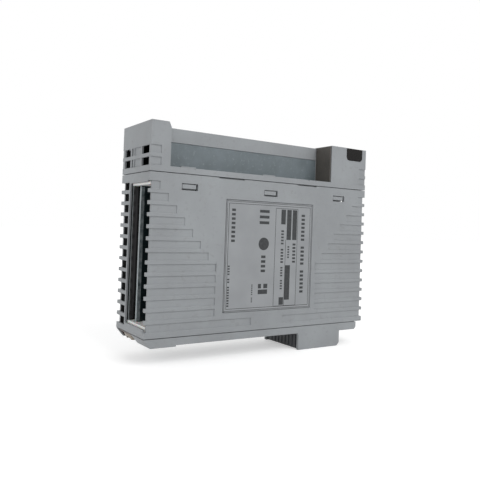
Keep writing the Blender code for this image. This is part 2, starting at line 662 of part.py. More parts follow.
def make_board_parts(materials):
    """Photocouplers, supply parts and chips that do the module's work."""
    near_face = IO_BOARD_Y - GAP
    width, height, length = COUPLER_SIZE
    first = LENGTH / 2 - COUPLER_PITCH * (COUPLER_COUNT - 1) / 2
    for i in range(COUPLER_COUNT):
        x = first + COUPLER_PITCH * i
        add_block(f"photocoupler_{i + 1}",
                  (x - width / 2, x + width / 2, near_face - height, near_face,
                   COUPLER_FOOT, COUPLER_FOOT + length), materials["chip"])
    width, height, length = TRANSFORMER_SIZE
    add_block("isolation_transformer", (30, 30 + width, near_face - height, near_face,
                                        14, 14 + length), materials["ferrite"])
    for i, x in enumerate((54, 64)):
        can = turned_mesh(f"filter_capacitor_{i + 1}", [
            (CAPACITOR_RADIUS, 0), (CAPACITOR_RADIUS, 1.2), (CAPACITOR_RADIUS - 0.35, 1.6),
            (CAPACITOR_RADIUS, 2.0), (CAPACITOR_RADIUS, CAPACITOR_LENGTH - 0.4),
            (CAPACITOR_RADIUS - 0.4, CAPACITOR_LENGTH)])
        add_object(can.name, can, materials["can"], at(x, near_face, 21), (math.radians(90), 0, 0))
    logic_face = LOGIC_BOARD_Y - GAP
    chips = {"bus_controller_chip": (88, 108, 22, 42), "processor_chip": (52, 76, 34, 58),
             "memory_chip": (28, 40, 34, 54)}
    for name, (x0, x1, z0, z1) in chips.items():
        add_block(name, (x0, x1, logic_face - CHIP_THICK, logic_face, z0, z1), materials["chip"])
    add_block("crystal_can", (80, 84, logic_face - 2.6, logic_face, 44, 55), materials["can"])


def make_field_connector(materials):
    """Two-row header that the field wiring adapter plugs onto from the front."""
    head = CASE_DEPTH - FACE_DROP - GAP
    foot = head - SOCKET_DEPTH
    end = SOCKET_START + SOCKET_LENGTH
    socket = add_block("field_connector_housing",
                       (SOCKET_START, end, SOCKET_Y, SOCKET_Y + SOCKET_WIDTH, foot, head),
                       materials["dark"])
    pocket = (SOCKET_START + SOCKET_WALL, end - SOCKET_WALL, SOCKET_Y + SOCKET_WALL,
              SOCKET_Y + SOCKET_WIDTH - SOCKET_WALL, head - POCKET_DEPTH, head + OVER)
    cut_blocks(socket, "pocket", [pocket])
    middle = SOCKET_START + SOCKET_LENGTH / 2
    key = (middle - 2.2, middle + 2.2, SOCKET_Y - OVER, SOCKET_Y + SOCKET_WALL + 0.4,
           head - POCKET_DEPTH + 2, head + OVER)
    cut_blocks(socket, "key", [key])
    floor = head - POCKET_DEPTH + GAP
    row_centre = SOCKET_Y + SOCKET_WIDTH / 2
    half = FIELD_PIN_PITCH * FIELD_PINS / 2
    strip = add_block("field_connector_contacts",
                      (middle - half, middle + half, row_centre - 2.2, row_centre + 2.2,
                       floor, floor + 0.9), materials["gold"])
    pins = []
    for i in range(FIELD_PINS):
        x = middle + FIELD_PIN_PITCH * (i - (FIELD_PINS - 1) / 2)
        for y in (row_centre - FIELD_PIN_PITCH / 2, row_centre + FIELD_PIN_PITCH / 2):
            half_pin = PIN_SIZE / 2
            pins.append((x - half_pin, x + half_pin, y - half_pin, y + half_pin,
                         floor + 0.4, floor + PIN_RISE))
    join_blocks(strip, "pins", pins)


def make_backplane_connector(materials):
    """Plug that stands in the hood, with two rows of blade contacts."""
    plug = add_block("backplane_connector_housing",
                     (PLUG_START, PLUG_START + PLUG_LENGTH, PLUG_Y, PLUG_Y + PLUG_WIDTH,
                      -PLUG_NOSE, IO_BOARD_FOOT - GAP), materials["dark"])
    nose = (HOOD_START + PLUG_MOUTH, HOOD_START + HOOD_LENGTH - HOOD_WALL - GAP,
            HOOD_WALL + GAP, HOOD_WIDTH - HOOD_WALL - GAP, -PLUG_NOSE, -GAP)
    join_blocks(plug, "nose", [nose])
    slot_length, slot_width = PLUG_SLOT
    middle = PLUG_START + PLUG_LENGTH / 2
    slots = []
    for i, offset in enumerate((-1, 1)):
        y = PLUG_Y + PLUG_WIDTH / 2 + offset * PLUG_ROWS
        slots.append((middle - slot_length / 2, middle + slot_length / 2, y - slot_width / 2,
                      y + slot_width / 2, -PLUG_NOSE - OVER, -1.0))
        half = slot_length / 2 - GAP
        y += BLADE_OFFSET
        strip = add_block(f"backplane_contacts_{i + 1}",
                          (middle - half, middle + half, y - 0.8, y + 0.8, -2.2, -1.0 - GAP),
                          materials["gold"])
        pitch = 2 * half / BLADE_COUNT
        blades = []
        for k in range(BLADE_COUNT):
            x = middle + pitch * (k - (BLADE_COUNT - 1) / 2)
            blades.append((x - pitch / 4, x + pitch / 4, y - 0.45, y + 0.45, -PLUG_NOSE + 0.8, -1.8))
        join_blocks(strip, "blades", blades)
    cut_blocks(plug, "slots", slots)


def make_fixing_screws(materials):
    """Captive screws that run the full depth, each with its retaining ring and rear bush."""
    head_foot = HEAD_SEAT + GAP + SCREW_TRAVEL
    head_top = head_foot + SCREW_HEAD_HEIGHT
    ring_top = TOWER_FOOT - GAP
    ring_foot = ring_top - RING_THICK
    for end, x in SCREWS.items():
        place = at(x, SCREW_Y, 0)
        profile = [
            (SCREW_RADIUS - 0.7, -SCREW_TIP), (SCREW_RADIUS, -SCREW_TIP + 0.8),
            (SCREW_RADIUS, ring_foot - GAP), (RING_NECK, ring_foot - GAP),
            (RING_NECK, ring_top + 0.1), (SCREW_RADIUS, ring_top + 0.1),
            (SCREW_RADIUS, head_foot), (SCREW_HEAD_RADIUS, head_foot),
            (SCREW_HEAD_RADIUS, head_top - 0.4), (SCREW_HEAD_RADIUS - 0.4, head_top)]
        mesh = turned_mesh(f"{end}_fixing_screw", profile)
        screw = add_object(mesh.name, mesh, materials["steel"], place)
        for label, half_x, half_y in (("slot_along", 0.55, 2.6), ("slot_across", 2.6, 0.55)):
            slot = (x - half_x, x + half_x, SCREW_Y - half_y, SCREW_Y + half_y,
                    head_top - 1.3, head_top + OVER)
            cut_blocks(screw, label, [slot])
        ring = tube_mesh(f"{end}_retaining_ring", RING_RADIUS, RING_NECK + GAP, RING_THICK)
        add_object(ring.name, ring, materials["can"], place + Vector((0, 0, ring_foot * MM)))


def make_bushes(materials):
    """Bushes that guide the screws' tips out of the rear: a plain one, and one cast with a flanged seat."""
    length = BASE_HEIGHT + BUSH_PROUD
    upper = tube_mesh("upper_screw_bush", BUSH_RADIUS, BORE_RADIUS, length)
    add_object(upper.name, upper, materials["zinc"], at(SCREWS["upper"], SCREW_Y, -BUSH_PROUD))

    seat_end, seat_near, seat_far = SEAT_BLOCK
    end, near, far = seat_end - GAP, seat_near + GAP, seat_far - GAP
    outline = [(GAP * 1.5, BASE_HEIGHT), (BASE_CHAMFER + GAP, GAP), (end, GAP), (end, BASE_HEIGHT)]
    lower = add_object("lower_screw_bush", prism_mesh("lower_screw_bush", outline, "y", near, far),
                       materials["zinc"])
    pocket = (-OVER, end - SEAT_SKIN, near + SEAT_SKIN, far - SEAT_SKIN, -OVER,
              BASE_HEIGHT - SEAT_SKIN * 1.5)
    cut_blocks(lower, "pocket", [pocket])
    place = at(SCREWS["lower"], SCREW_Y, -BUSH_PROUD)
    spigot = turned_mesh("lower_screw_bush_spigot", [(BUSH_RADIUS, 0), (BUSH_RADIUS, length)])
    shape(lower, spigot, "UNION", place)
    slope = [(-OVER, BASE_HEIGHT + GAP), (0, BASE_HEIGHT + GAP), (BASE_CHAMFER + GAP, 0),
             (BASE_CHAMFER + GAP, -OVER), (-OVER, -OVER)]
    shape(lower, prism_mesh("lower_screw_bush_slope", slope, "y", near - OVER, far + OVER), "DIFFERENCE")
    bore = turned_mesh("lower_screw_bush_bore", [(BORE_RADIUS, -OVER), (BORE_RADIUS, length + OVER)])
    shape(lower, bore, "DIFFERENCE", place)


def main():
    clear_scene()
    materials = make_materials()
    make_rear_case(materials)
    make_nameplate(materials)
    make_front_housing(materials)
    make_notch_plates(materials)
    make_lens(materials)
    make_rear_base(materials)
    make_guides(materials)
    make_boards(materials)
    make_board_parts(materials)
    make_field_connector(materials)
    make_backplane_connector(materials)
    make_fixing_screws(materials)
    make_bushes(materials)


main()
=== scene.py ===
import json
import math

import bmesh
import bpy
from mathutils import Matrix, Quaternion, Vector


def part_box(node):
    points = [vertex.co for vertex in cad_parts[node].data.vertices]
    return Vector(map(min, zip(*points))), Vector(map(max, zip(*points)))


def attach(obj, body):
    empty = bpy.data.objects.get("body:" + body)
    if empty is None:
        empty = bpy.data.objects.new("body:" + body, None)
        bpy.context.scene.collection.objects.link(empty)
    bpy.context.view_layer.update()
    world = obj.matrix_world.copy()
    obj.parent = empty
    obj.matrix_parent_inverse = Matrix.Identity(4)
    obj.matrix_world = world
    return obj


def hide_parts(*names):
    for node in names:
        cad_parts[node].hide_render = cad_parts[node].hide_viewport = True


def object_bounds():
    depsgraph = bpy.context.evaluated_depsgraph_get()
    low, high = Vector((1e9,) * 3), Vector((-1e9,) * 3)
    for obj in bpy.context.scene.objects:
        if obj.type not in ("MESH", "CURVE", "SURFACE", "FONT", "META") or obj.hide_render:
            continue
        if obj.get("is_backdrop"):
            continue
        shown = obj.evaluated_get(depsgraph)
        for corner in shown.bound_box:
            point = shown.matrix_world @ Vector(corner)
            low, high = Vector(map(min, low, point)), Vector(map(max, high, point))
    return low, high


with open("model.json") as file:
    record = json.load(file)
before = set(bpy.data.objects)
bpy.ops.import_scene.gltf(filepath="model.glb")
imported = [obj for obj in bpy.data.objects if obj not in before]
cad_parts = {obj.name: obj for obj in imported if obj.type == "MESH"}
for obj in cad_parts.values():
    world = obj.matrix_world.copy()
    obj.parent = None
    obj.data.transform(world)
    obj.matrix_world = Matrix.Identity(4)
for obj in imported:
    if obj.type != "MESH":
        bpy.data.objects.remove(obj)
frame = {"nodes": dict(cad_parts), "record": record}        # bodies, nodes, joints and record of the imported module
cadLow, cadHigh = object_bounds()
nodes = frame["nodes"]
record = frame["record"]
slotOf = {entry["node"]: entry["material_slot"] for entry in record["subparts"]}
bodyOf = {node: body for body, members in record["behaviour"]["bodies"].items() for node in members}
mm = 0.001
hoodDepth = 8.0          # the module stands on its rear hood, this far behind its rear face
origin = cadLow + Vector((0, 0, hoodDepth * mm))


# places: x from the lower end, y from the label side, z from the rear face, all in mm

def at(x, y, z):
    return origin + Vector((x, y, z)) * mm


def span(node):          # a node's box as (x0, y0, z0), (x1, y1, z1) in module mm
    return [tuple((corner - origin) / mm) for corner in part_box(node)]


# materials

def linear(hexCode):
    channels = [int(hexCode[i:i + 2], 16) / 255 for i in (0, 2, 4)]
    return (*[c / 12.92 if c <= 0.04045 else ((c + 0.055) / 1.055) ** 2.4 for c in channels], 1.0)


def addNode(tree, kind, values=None, **settings):
    node = tree.nodes.new(kind)
    for name, value in settings.items():
        setattr(node, name, value)
    for name, value in (values or {}).items():
        if isinstance(value, bpy.types.NodeSocket):
            tree.links.new(value, node.inputs[name])
        else:
            node.inputs[name].default_value = value
    return node


def startMaterial(name, **fixed):      # fixed values go straight to the shader's own sockets
    material = bpy.data.materials.new(name)
    material.use_nodes = True
    tree = material.node_tree
    shader = tree.nodes["Principled BSDF"]
    for label, value in fixed.items():
        shader.inputs[label.replace("_", " ")].default_value = value
    return material, tree, shader, addNode(tree, "ShaderNodeTexCoord").outputs["Object"]


def surface(name, look, **fixed):
    material, tree, shader, place = startMaterial(name, **fixed)
    stretch = addNode(tree, "ShaderNodeMapping", {"Vector": place, "Scale": look.get("stretch", (1, 1, 1))})
    drift = addNode(tree, "ShaderNodeTexNoise", {"Vector": place, "Detail": 3.0,
                                                 "Scale": 1 / (look["drift"] * mm)})
    grain = addNode(tree, "ShaderNodeTexNoise", {"Vector": stretch.outputs["Vector"], "Detail": 2.0,
                                                 "Scale": 1 / (look["grain"] * mm)})
    tone = addNode(tree, "ShaderNodeMapRange", {"Value": drift.outputs["Fac"], "From Min": 0.3,
                                                "From Max": 0.7})
    colour = addNode(tree, "ShaderNodeMix", {0: tone.outputs["Result"], 6: linear(look["dark"]),
                                             7: linear(look["light"])}, data_type="RGBA").outputs[2]
    if "speck" in look:                # dust, flecks or worn spots laid over the main colour
        tint, size, floor, top = look["speck"]
        dots = addNode(tree, "ShaderNodeTexNoise", {"Vector": place, "Scale": 1 / (size * mm), "Detail": 4.0,
                                                    "Roughness": 0.7})
        cover = addNode(tree, "ShaderNodeMapRange", {"Value": dots.outputs["Fac"], "From Min": floor,
                                                     "From Max": top, "To Max": 0.75})
        colour = addNode(tree, "ShaderNodeMix", {0: cover.outputs["Result"], 6: colour, 7: linear(tint)},
                         data_type="RGBA").outputs[2]
    spread = look.get("spread", 0.06)
    rough = addNode(tree, "ShaderNodeMapRange", {
        "Value": grain.outputs["Fac"], "To Min": look["rough"] - spread, "To Max": look["rough"] + spread})
    relief = addNode(tree, "ShaderNodeBump", {"Height": grain.outputs["Fac"], "Strength": look["bump"],
                                              "Distance": look.get("depth", 0.04) * mm})
    tree.links.new(colour, shader.inputs["Base Color"])
    tree.links.new(rough.outputs["Result"], shader.inputs["Roughness"])
    tree.links.new(relief.outputs["Normal"], shader.inputs["Normal"])
    return material


# ABS moulded in a spark-eroded tool: an even satin grain, slightly yellowed, with light dust
caseAbs = surface("moulded ABS, light grey", {
    "dark": "8A8D90", "light": "969A9D", "drift": 22, "grain": 0.5, "rough": 0.52, "bump": 0.35,
    "speck": ("838483", 2.4, 0.56, 0.8)}, IOR=1.53)
# flame-retardant PBT sheet: bluer and smoother than the case, dusty where nothing wipes it
barrierPbt = surface("moulded PBT, blue grey", {
    "dark": "5C666A", "light": "6B757A", "drift": 9, "grain": 0.7, "rough": 0.5, "bump": 0.4,
    "speck": ("868D90", 1.6, 0.57, 0.76)}, IOR=1.56)
# the same sheet in dark warm grey, nearly matt: the notch's end wall darker than the faces beside it
endPlatePbt = surface("moulded PBT, dark warm grey", {
    "dark": "3F3C38", "light": "4C4843", "drift": 7, "grain": 0.6, "rough": 0.55, "bump": 0.4,
    "speck": ("5F5B55", 1.4, 0.57, 0.76)}, IOR=1.56)
# glass-filled PBT: black stock that reads dark grey, its short fibres leave pale streaks along the flow
connectorPbt = surface("glass-filled PBT, black", {
    "dark": "282B2F", "light": "373B40", "drift": 4, "grain": 0.35, "stretch": (0.25, 1, 1), "rough": 0.42,
    "bump": 0.4, "speck": ("3A3C3E", 0.8, 0.62, 0.8)}, IOR=1.58)
# printed polyester film: matt over-laminate, a little cooler than the case
labelFilm = surface("polyester film, matt laminate", {
    "dark": "888B8E", "light": "929598", "drift": 14, "grain": 0.3, "rough": 0.45, "bump": 0.2,
    "depth": 0.015}, IOR=1.6, Coat_Weight=0.12, Coat_Roughness=0.35)
# screen-printed ink: thin, patchy dark grey
labelInk = surface("screen ink, dark grey", {
    "dark": "232527", "light": "35383A", "drift": 1.1, "grain": 0.25, "rough": 0.6, "bump": 0.3,
    "speck": ("5C5F60", 0.5, 0.64, 0.84)})
# nylon 66, natural: bright white and waxy
naturalNylon = surface("nylon 66, natural white", {
    "dark": "F4F4F1", "light": "FCFCFA", "drift": 5, "grain": 0.6, "rough": 0.38, "bump": 0.2},
    IOR=1.53, Subsurface_Weight=0.15, Subsurface_Scale=0.0008)
# epoxy moulding compound: matt black with silica flecks
chipEpoxy = surface("epoxy moulding compound", {
    "dark": "1B1B1D", "light": "27272A", "drift": 2.5, "grain": 0.22, "rough": 0.62, "bump": 0.5,
    "speck": ("3E3E40", 0.5, 0.64, 0.8)})
# polyester winding tape: glossy amber over the copper turns, whose ridges show through
windingTape = surface("polyester winding tape", {
    "dark": "A8801E", "light": "C49A34", "drift": 4, "grain": 0.45, "stretch": (0.08, 0.08, 1), "rough": 0.22,
    "bump": 0.6, "depth": 0.08}, IOR=1.6, Coat_Weight=0.4, Coat_Roughness=0.12)
# sintered ferrite: dull dark grey, faintly gritty
ferriteCore = surface("sintered ferrite", {
    "dark": "2A2B2D", "light": "36373A", "drift": 3, "grain": 0.3, "rough": 0.7, "bump": 0.7})
# shrunk PVC sleeve on the capacitor cans: dark blue and glossy
canSleeve = surface("shrunk PVC sleeve, dark blue", {
    "dark": "14213F", "light": "1B2B52", "drift": 4, "grain": 0.9, "rough": 0.28, "bump": 0.15}, IOR=1.54)
# tinned or nickelled steel and drawn aluminium: bright with fine drawn lines
brightSteel = surface("nickelled steel, satin", {
    "dark": "B4B5B6", "light": "CBCCCD", "drift": 3, "grain": 0.5, "stretch": (1, 1, 0.2), "rough": 0.3,
    "bump": 0.25, "speck": ("8E8C88", 1.0, 0.64, 0.82)}, Metallic=1.0)
# solder left by the wave on copper: soft grey, rippled, half dull; its pale patches are also painted light and
# highlights on the board's face near the end window
tinAndPaintedLight = surface("wave-soldered tin", {
    "dark": "4A5559", "light": "A3ACAF", "drift": 3.2, "grain": 2.4, "stretch": (0.5, 1, 1), "rough": 0.5,
    "spread": 0.12, "bump": 0.9, "depth": 0.25}, Metallic=0.3)
# blackened machine-screw steel, worn bright on its edges and slots
blackSteel = surface("blackened steel, oiled", {
    "dark": "121214", "light": "1B1B1D", "drift": 2.2, "grain": 0.3, "stretch": (1, 1, 0.3), "rough": 0.5,
    "bump": 0.3, "speck": ("4E4C49", 0.7, 0.64, 0.82)}, Metallic=0.4)
# zinc die casting with an old chromate: brown with paler olive rubbed through, kept dark as painted shade in the
# pockets beside the spigot
chromateAndShadeZinc = surface("chromated zinc, brown", {
    "dark": "2E2420", "light": "4E3E36", "drift": 1.6, "grain": 0.4, "rough": 0.42, "bump": 0.5,
    "speck": ("6E6254", 1.1, 0.62, 0.8)}, Metallic=0.5)
# the same casting, lighter: painted light on the lit face of the spigot, dull silver-brown
litSpigotZinc = surface("chromated zinc, rubbed bright", {
    "dark": "857C72", "light": "A9A196", "drift": 1.2, "grain": 0.4, "rough": 0.4, "bump": 0.4,
    "speck": ("5E5046", 0.9, 0.6, 0.78)}, Metallic=0.5)
# hard gold over nickel: warm, fairly bright
contactGold = surface("hard gold over nickel", {
    "dark": "B98F3E", "light": "D8B05A", "drift": 1.5, "grain": 0.2, "rough": 0.24, "bump": 0.15},
    Metallic=1.0)
# smoked polycarbonate: nearly black until a lamp behind it lights
smokedPc = surface("smoked polycarbonate", {
    "dark": "0D0C0B", "light": "151312", "drift": 5, "grain": 0.8, "rough": 0.28, "spread": 0.04,
    "bump": 0.05}, IOR=1.4, Transmission_Weight=0.1, Specular_IOR_Level=0.25)
# cast acrylic: clear with a faint blue cast and sanded ends
clearAcrylic = surface("acrylic light guide", {
    "dark": "DDE6EA", "light": "EEF4F6", "drift": 4, "grain": 0.6, "rough": 0.08, "spread": 0.04,
    "bump": 0.05}, IOR=1.49, Transmission_Weight=0.92)
# diffused lamp epoxy: milky green when unlit
lampEpoxy = surface("diffused lamp epoxy, green", {
    "dark": "6C9A6A", "light": "86B583", "drift": 0.8, "grain": 0.2, "rough": 0.2, "bump": 0.1},
    IOR=1.54, Transmission_Weight=0.35)
# cut edge of glass-epoxy laminate: pale, with its cloth layers as fine lines
laminateEdge = surface("glass-epoxy laminate, cut edge", {
    "dark": "8F979A", "light": "A8B0B2", "drift": 1.2, "grain": 0.25, "stretch": (0.1, 1, 0.1), "rough": 0.7,
    "bump": 0.5})


def boardMask():         # solder mask over etched tracks: dark blue-green, the tracks a shade lighter
    material, tree, shader, place = startMaterial("solder mask over tracks", IOR=1.5, Coat_Weight=0.25,
                                                  Coat_Roughness=0.25)
    trackPitch = 1.27    # mm
    flat = addNode(tree, "ShaderNodeMapping", {"Vector": place, "Rotation": (math.radians(90), 0, 0)})
    tracks = addNode(tree, "ShaderNodeTexBrick", {
        "Vector": flat.outputs["Vector"], "Scale": 1 / mm, "Brick Width": 11 * trackPitch,
        "Row Height": trackPitch, "Mortar Size": 0.16, "Mortar Smooth": 0.3, "Color1": linear("0C1517"),
        "Color2": linear("101C1F"), "Mortar": linear("1B2E30")})
    blotch = addNode(tree, "ShaderNodeTexNoise", {"Vector": place, "Scale": 1 / (9 * mm), "Detail": 4.0})
    colour = addNode(tree, "ShaderNodeMix", {0: blotch.outputs["Fac"], 6: tracks.outputs["Color"],
                                             7: linear("121F22")}, data_type="RGBA")
    rough = addNode(tree, "ShaderNodeMapRange", {"Value": blotch.outputs["Fac"], "To Min": 0.25,
                                                 "To Max": 0.45})
    relief = addNode(tree, "ShaderNodeBump", {"Height": tracks.outputs["Fac"], "Strength": 0.5,
                                              "Distance": 0.035 * mm})
    tree.links.new(colour.outputs[2], shader.inputs["Base Color"])
    tree.links.new(rough.outputs["Result"], shader.inputs["Roughness"])
    tree.links.new(relief.outputs["Normal"], shader.inputs["Normal"])
    return material


solderMask = boardMask()
print("materials made")


# mesh tools

def linkPiece(name, mesh):
    piece = bpy.data.objects.new(name, mesh)
    bpy.context.scene.collection.objects.link(piece)
    return piece


def closePiece(name, bm):              # outward faces, then a linked object
    bmesh.ops.remove_doubles(bm, verts=bm.verts, dist=1e-7)
    bmesh.ops.recalc_face_normals(bm, faces=bm.faces)
    mesh = bpy.data.meshes.new(name)
    bm.to_mesh(mesh)
    bm.free()
    return linkPiece(name, mesh)


def addBlock(bm, x0, x1, y0, y1, z0, z1):
    size = Matrix.Diagonal((abs(x1 - x0) * mm, abs(y1 - y0) * mm, abs(z1 - z0) * mm, 1))
    middle = Matrix.Translation(at((x0 + x1) / 2, (y0 + y1) / 2, (z0 + z1) / 2))
    bmesh.ops.create_cube(bm, size=1.0, matrix=middle @ size)


def loft(bm, rings):                   # skins rings of vertices, each joined to the next, ends closed
    count = len(rings[0])
    for low, high in zip(rings, rings[1:]):
        for k in range(count):
            after = (k + 1) % count
            bm.faces.new((low[k], low[after], high[after], high[k]))
    bm.faces.new(rings[0])
    bm.faces.new(rings[-1])


def addPrism(bm, outline, low, high, place):    # place turns (u, v, w) into a point, w along the prism
    loft(bm, [[bm.verts.new(place(u, v, w)) for u, v in outline] for w in (low, high)])


def turnedSolid(bm, profile, centre, axis, sides=40):   # profile: (radius, height) from the foot up
    turn = Vector((0, 0, 1)).rotation_difference(Vector(axis))
    rings = []
    for radius, height in profile:
        ring = []
        for k in range(sides):
            angle = 2 * math.pi * k / sides
            spoke = Vector((radius * math.cos(angle), radius * math.sin(angle), height))
            ring.append(bm.verts.new(at(*centre) + (turn @ spoke) * mm))
        rings.append(ring)
    loft(bm, rings)


def roundedOutline(u0, u1, v0, v1, radius, steps=6):
    points = []
    for cu, cv, start in ((u1, v1, 0), (u0, v1, 90), (u0, v0, 180), (u1, v0, 270)):
        inU = cu - math.copysign(radius, cu - (u0 + u1) / 2)
        inV = cv - math.copysign(radius, cv - (v0 + v1) / 2)
        for k in range(steps + 1):
            angle = math.radians(start + 90 * k / steps)
            points.append((inU + radius * math.cos(angle), inV + radius * math.sin(angle)))
    return points


def roundEdges(piece, width, segments=2, angle=35):
    piece.data.shade_smooth()
    edge = piece.modifiers.new("edges", "BEVEL")
    edge.width = width * mm
    edge.segments = segments
    edge.limit_method = "ANGLE"
    edge.angle_limit = math.radians(angle)
    edge.use_clamp_overlap = False
    edge.face_strength_mode = "FSTR_ALL"
    flats = piece.modifiers.new("flats", "WEIGHTED_NORMAL")    # keeps the broad faces truly flat
    flats.use_face_influence = True
    flats.keep_sharp = True


def cutIntoPanels(bm):   # re-divides flat walls along the lines of their own edges, which then round cleanly
    bmesh.ops.dissolve_limit(bm, angle_limit=math.radians(0.5), verts=bm.verts, edges=bm.edges)
    levels = [set(), set(), set()]
    for edge in bm.edges:
        run = edge.verts[0].co - edge.verts[1].co
        sharp = len(edge.link_faces) == 2 and edge.calc_face_angle(0) > 0.3
        if sharp and edge.calc_length() > 0.4 * mm:
            for axis in range(3):
                across = [a for a in range(3) if a != axis]
                if all(abs(run[a]) < 1e-7 for a in across):
                    for a in across:
                        levels[a].add(round(edge.verts[0].co[a], 6))
    for axis, places in enumerate(levels):
        normal = [float(a == axis) for a in range(3)]
        for level in sorted(places):
            bmesh.ops.bisect_plane(bm, geom=bm.verts[:] + bm.edges[:] + bm.faces[:], dist=1e-6,
                                   plane_no=normal, plane_co=[level * n for n in normal])


def cleanCopy(node, bevel=0.12, segments=2, panels=False):     # a CAD node's mesh, merged, for a finer edge
    bm = bmesh.new()
    bm.from_mesh(nodes[node].data)
    bmesh.ops.remove_doubles(bm, verts=bm.verts, dist=1e-6)
    if panels:
        cutIntoPanels(bm)
    mesh = bpy.data.meshes.new(node + "_finished")
    bm.to_mesh(mesh)
    bm.free()
    piece = linkPiece(mesh.name, mesh)
    roundEdges(piece, bevel, segments)
    return piece


def carve(piece, cutter):              # takes the cutter's shape out of the piece, then drops the cutter
    cut = piece.modifiers.new("cut", "BOOLEAN")
    cut.object = cutter
    graph = bpy.context.evaluated_depsgraph_get()
    mesh = bpy.data.meshes.new_from_object(piece.evaluated_get(graph))
    piece.modifiers.remove(cut)
    bpy.data.objects.remove(cutter)
    piece.data = mesh
    mesh.name = piece.name


def settle(piece, material, *stands, body=None, slot=None):    # stands: the CAD nodes it stands for
    piece.data.materials.clear()
    piece.data.materials.append(material)
    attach(piece, body or bodyOf[stands[0]])
    if stands:
        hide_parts(*stands)


def addDetail(piece, material, slot):  # too fine for the CAD: it rides on the module and stands for no node
    settle(piece, material, body="module_body", slot=slot)


# geometry node trees

def startTree(name, inputs):
    tree = bpy.data.node_groups.new(name, "GeometryNodeTree")
    for label, kind in inputs:
        tree.interface.new_socket(name=label, in_out="INPUT", socket_type="NodeSocket" + kind)
    tree.interface.new_socket(name="Made", in_out="OUTPUT", socket_type="NodeSocketGeometry")
    return tree, addNode(tree, "NodeGroupInput").outputs


def endTree(tree, geometry, given):    # real geometry with its material, so that it can become a plain mesh
    real = addNode(tree, "GeometryNodeRealizeInstances", {"Geometry": geometry})
    painted = addNode(tree, "GeometryNodeSetMaterial", {"Geometry": real.outputs[0],
                                                        "Material": given["Material"]})
    addNode(tree, "NodeGroupOutput", {"Made": painted.outputs[0]})
    return tree


def gridTree():
    tree, given = startTree("gridOfCopies", (
        ("Shape", "Object"), ("Columns", "Int"), ("Rows", "Int"), ("Column Step", "Vector"),
        ("Row Step", "Vector"), ("Start", "Vector"), ("Keep", "Float"), ("Seed", "Int"),
        ("Material", "Material")))
    row = addNode(tree, "GeometryNodeMeshLine", {"Count": given["Columns"], "Start Location": given["Start"],
                                                 "Offset": given["Column Step"]})
    column = addNode(tree, "GeometryNodeMeshLine", {"Count": given["Rows"], "Offset": given["Row Step"]})
    grid = addNode(tree, "GeometryNodeInstanceOnPoints", {"Points": row.outputs[0],
                                                          "Instance": column.outputs[0]})
    points = addNode(tree, "GeometryNodeRealizeInstances", {"Geometry": grid.outputs[0]})
    kept = addNode(tree, "FunctionNodeRandomValue", {"Probability": given["Keep"], "Seed": given["Seed"]},
                   data_type="BOOLEAN")
    shape = addNode(tree, "GeometryNodeObjectInfo", {"Object": given["Shape"]})
    copies = addNode(tree, "GeometryNodeInstanceOnPoints", {
        "Points": points.outputs[0], "Instance": shape.outputs["Geometry"], "Selection": kept.outputs[3]})
    return endTree(tree, copies.outputs[0], given)


def threadTree():
    tree, given = startTree("threadHelix", (
        ("Turns", "Float"), ("Radius", "Float"), ("Rise", "Float"), ("Depth", "Float"), ("Start", "Vector"),
        ("Material", "Material")))
    helix = addNode(tree, "GeometryNodeCurveSpiral", {
        "Resolution": 24, "Rotations": given["Turns"], "Start Radius": given["Radius"],
        "End Radius": given["Radius"], "Height": given["Rise"]})
    crest = addNode(tree, "GeometryNodeCurvePrimitiveCircle", {"Resolution": 3, "Radius": given["Depth"]})
    ridge = addNode(tree, "GeometryNodeCurveToMesh", {
        "Curve": helix.outputs[0], "Profile Curve": crest.outputs[0], "Fill Caps": True})
    placed = addNode(tree, "GeometryNodeTransform", {"Geometry": ridge.outputs[0],
                                                     "Translation": given["Start"]})
    return endTree(tree, placed.outputs[0], given)


gridOfCopies = gridTree()
threadHelix = threadTree()


def runTree(name, tree, values):       # runs a tree once and keeps its result as a plain mesh
    holder = linkPiece(name + "_maker", bpy.data.meshes.new(name + "_maker"))
    maker = holder.modifiers.new(tree.name, "NODES")
    maker.node_group = tree
    for item in tree.interface.items_tree:
        if item.in_out == "INPUT" and item.name in values:
            maker[item.identifier] = values[item.name]
    graph = bpy.context.evaluated_depsgraph_get()
    mesh = bpy.data.meshes.new_from_object(holder.evaluated_get(graph))
    bpy.data.objects.remove(holder)
    mesh.name = name
    return mesh


def copies(name, shapes, material, plans):     # every plan lays one grid of a shape; all join in one piece
    joined = bmesh.new()
    for label, bm in shapes.items():
        shape = closePiece(name + "_" + label, bm)
        for plan in plans:
            if plan.get("shape", label) == label:
                mesh = runTree(name, gridOfCopies, {
                    "Shape": shape, "Columns": plan.get("columns", 1), "Rows": plan.get("rows", 1),
                    "Column Step": Vector(plan.get("step", (0, 0, 0))) * mm,
                    "Row Step": Vector(plan.get("rowStep", (0, 0, 0))) * mm, "Start": at(*plan["start"]),
                    "Keep": plan.get("keep", 1.0), "Seed": plan.get("seed", 3), "Material": material})
                joined.from_mesh(mesh)
                bpy.data.meshes.remove(mesh)
        bpy.data.objects.remove(shape)
    mesh = bpy.data.meshes.new(name)
    joined.to_mesh(mesh)
    joined.free()
    return linkPiece(name, mesh)


# case shells: grey outside, the inner faces near black as painted shade

shellPlan = {"edge": 0.14, "segments": 2, "wall": 1.8, "endWall": 1.0, "parting": 77.0, "shadeFoot": 3.0,
             "frontFoot": 70.0, "frontTop": 97.3, "notchWall": 13.79, "lowerBlock": 7.81, "upperBlock": 106.2,
             "inside": 0.01}
# painted shade on the case's inner faces: nearly black and matt, for the dark inside of the case
interiorShadePaint = surface("conductive shield coat", {
    "dark": "0A0B0C", "light": "121314", "drift": 5, "grain": 0.5, "rough": 0.7, "bump": 0.4,
    "speck": ("1C1D1F", 0.9, 0.62, 0.82)})


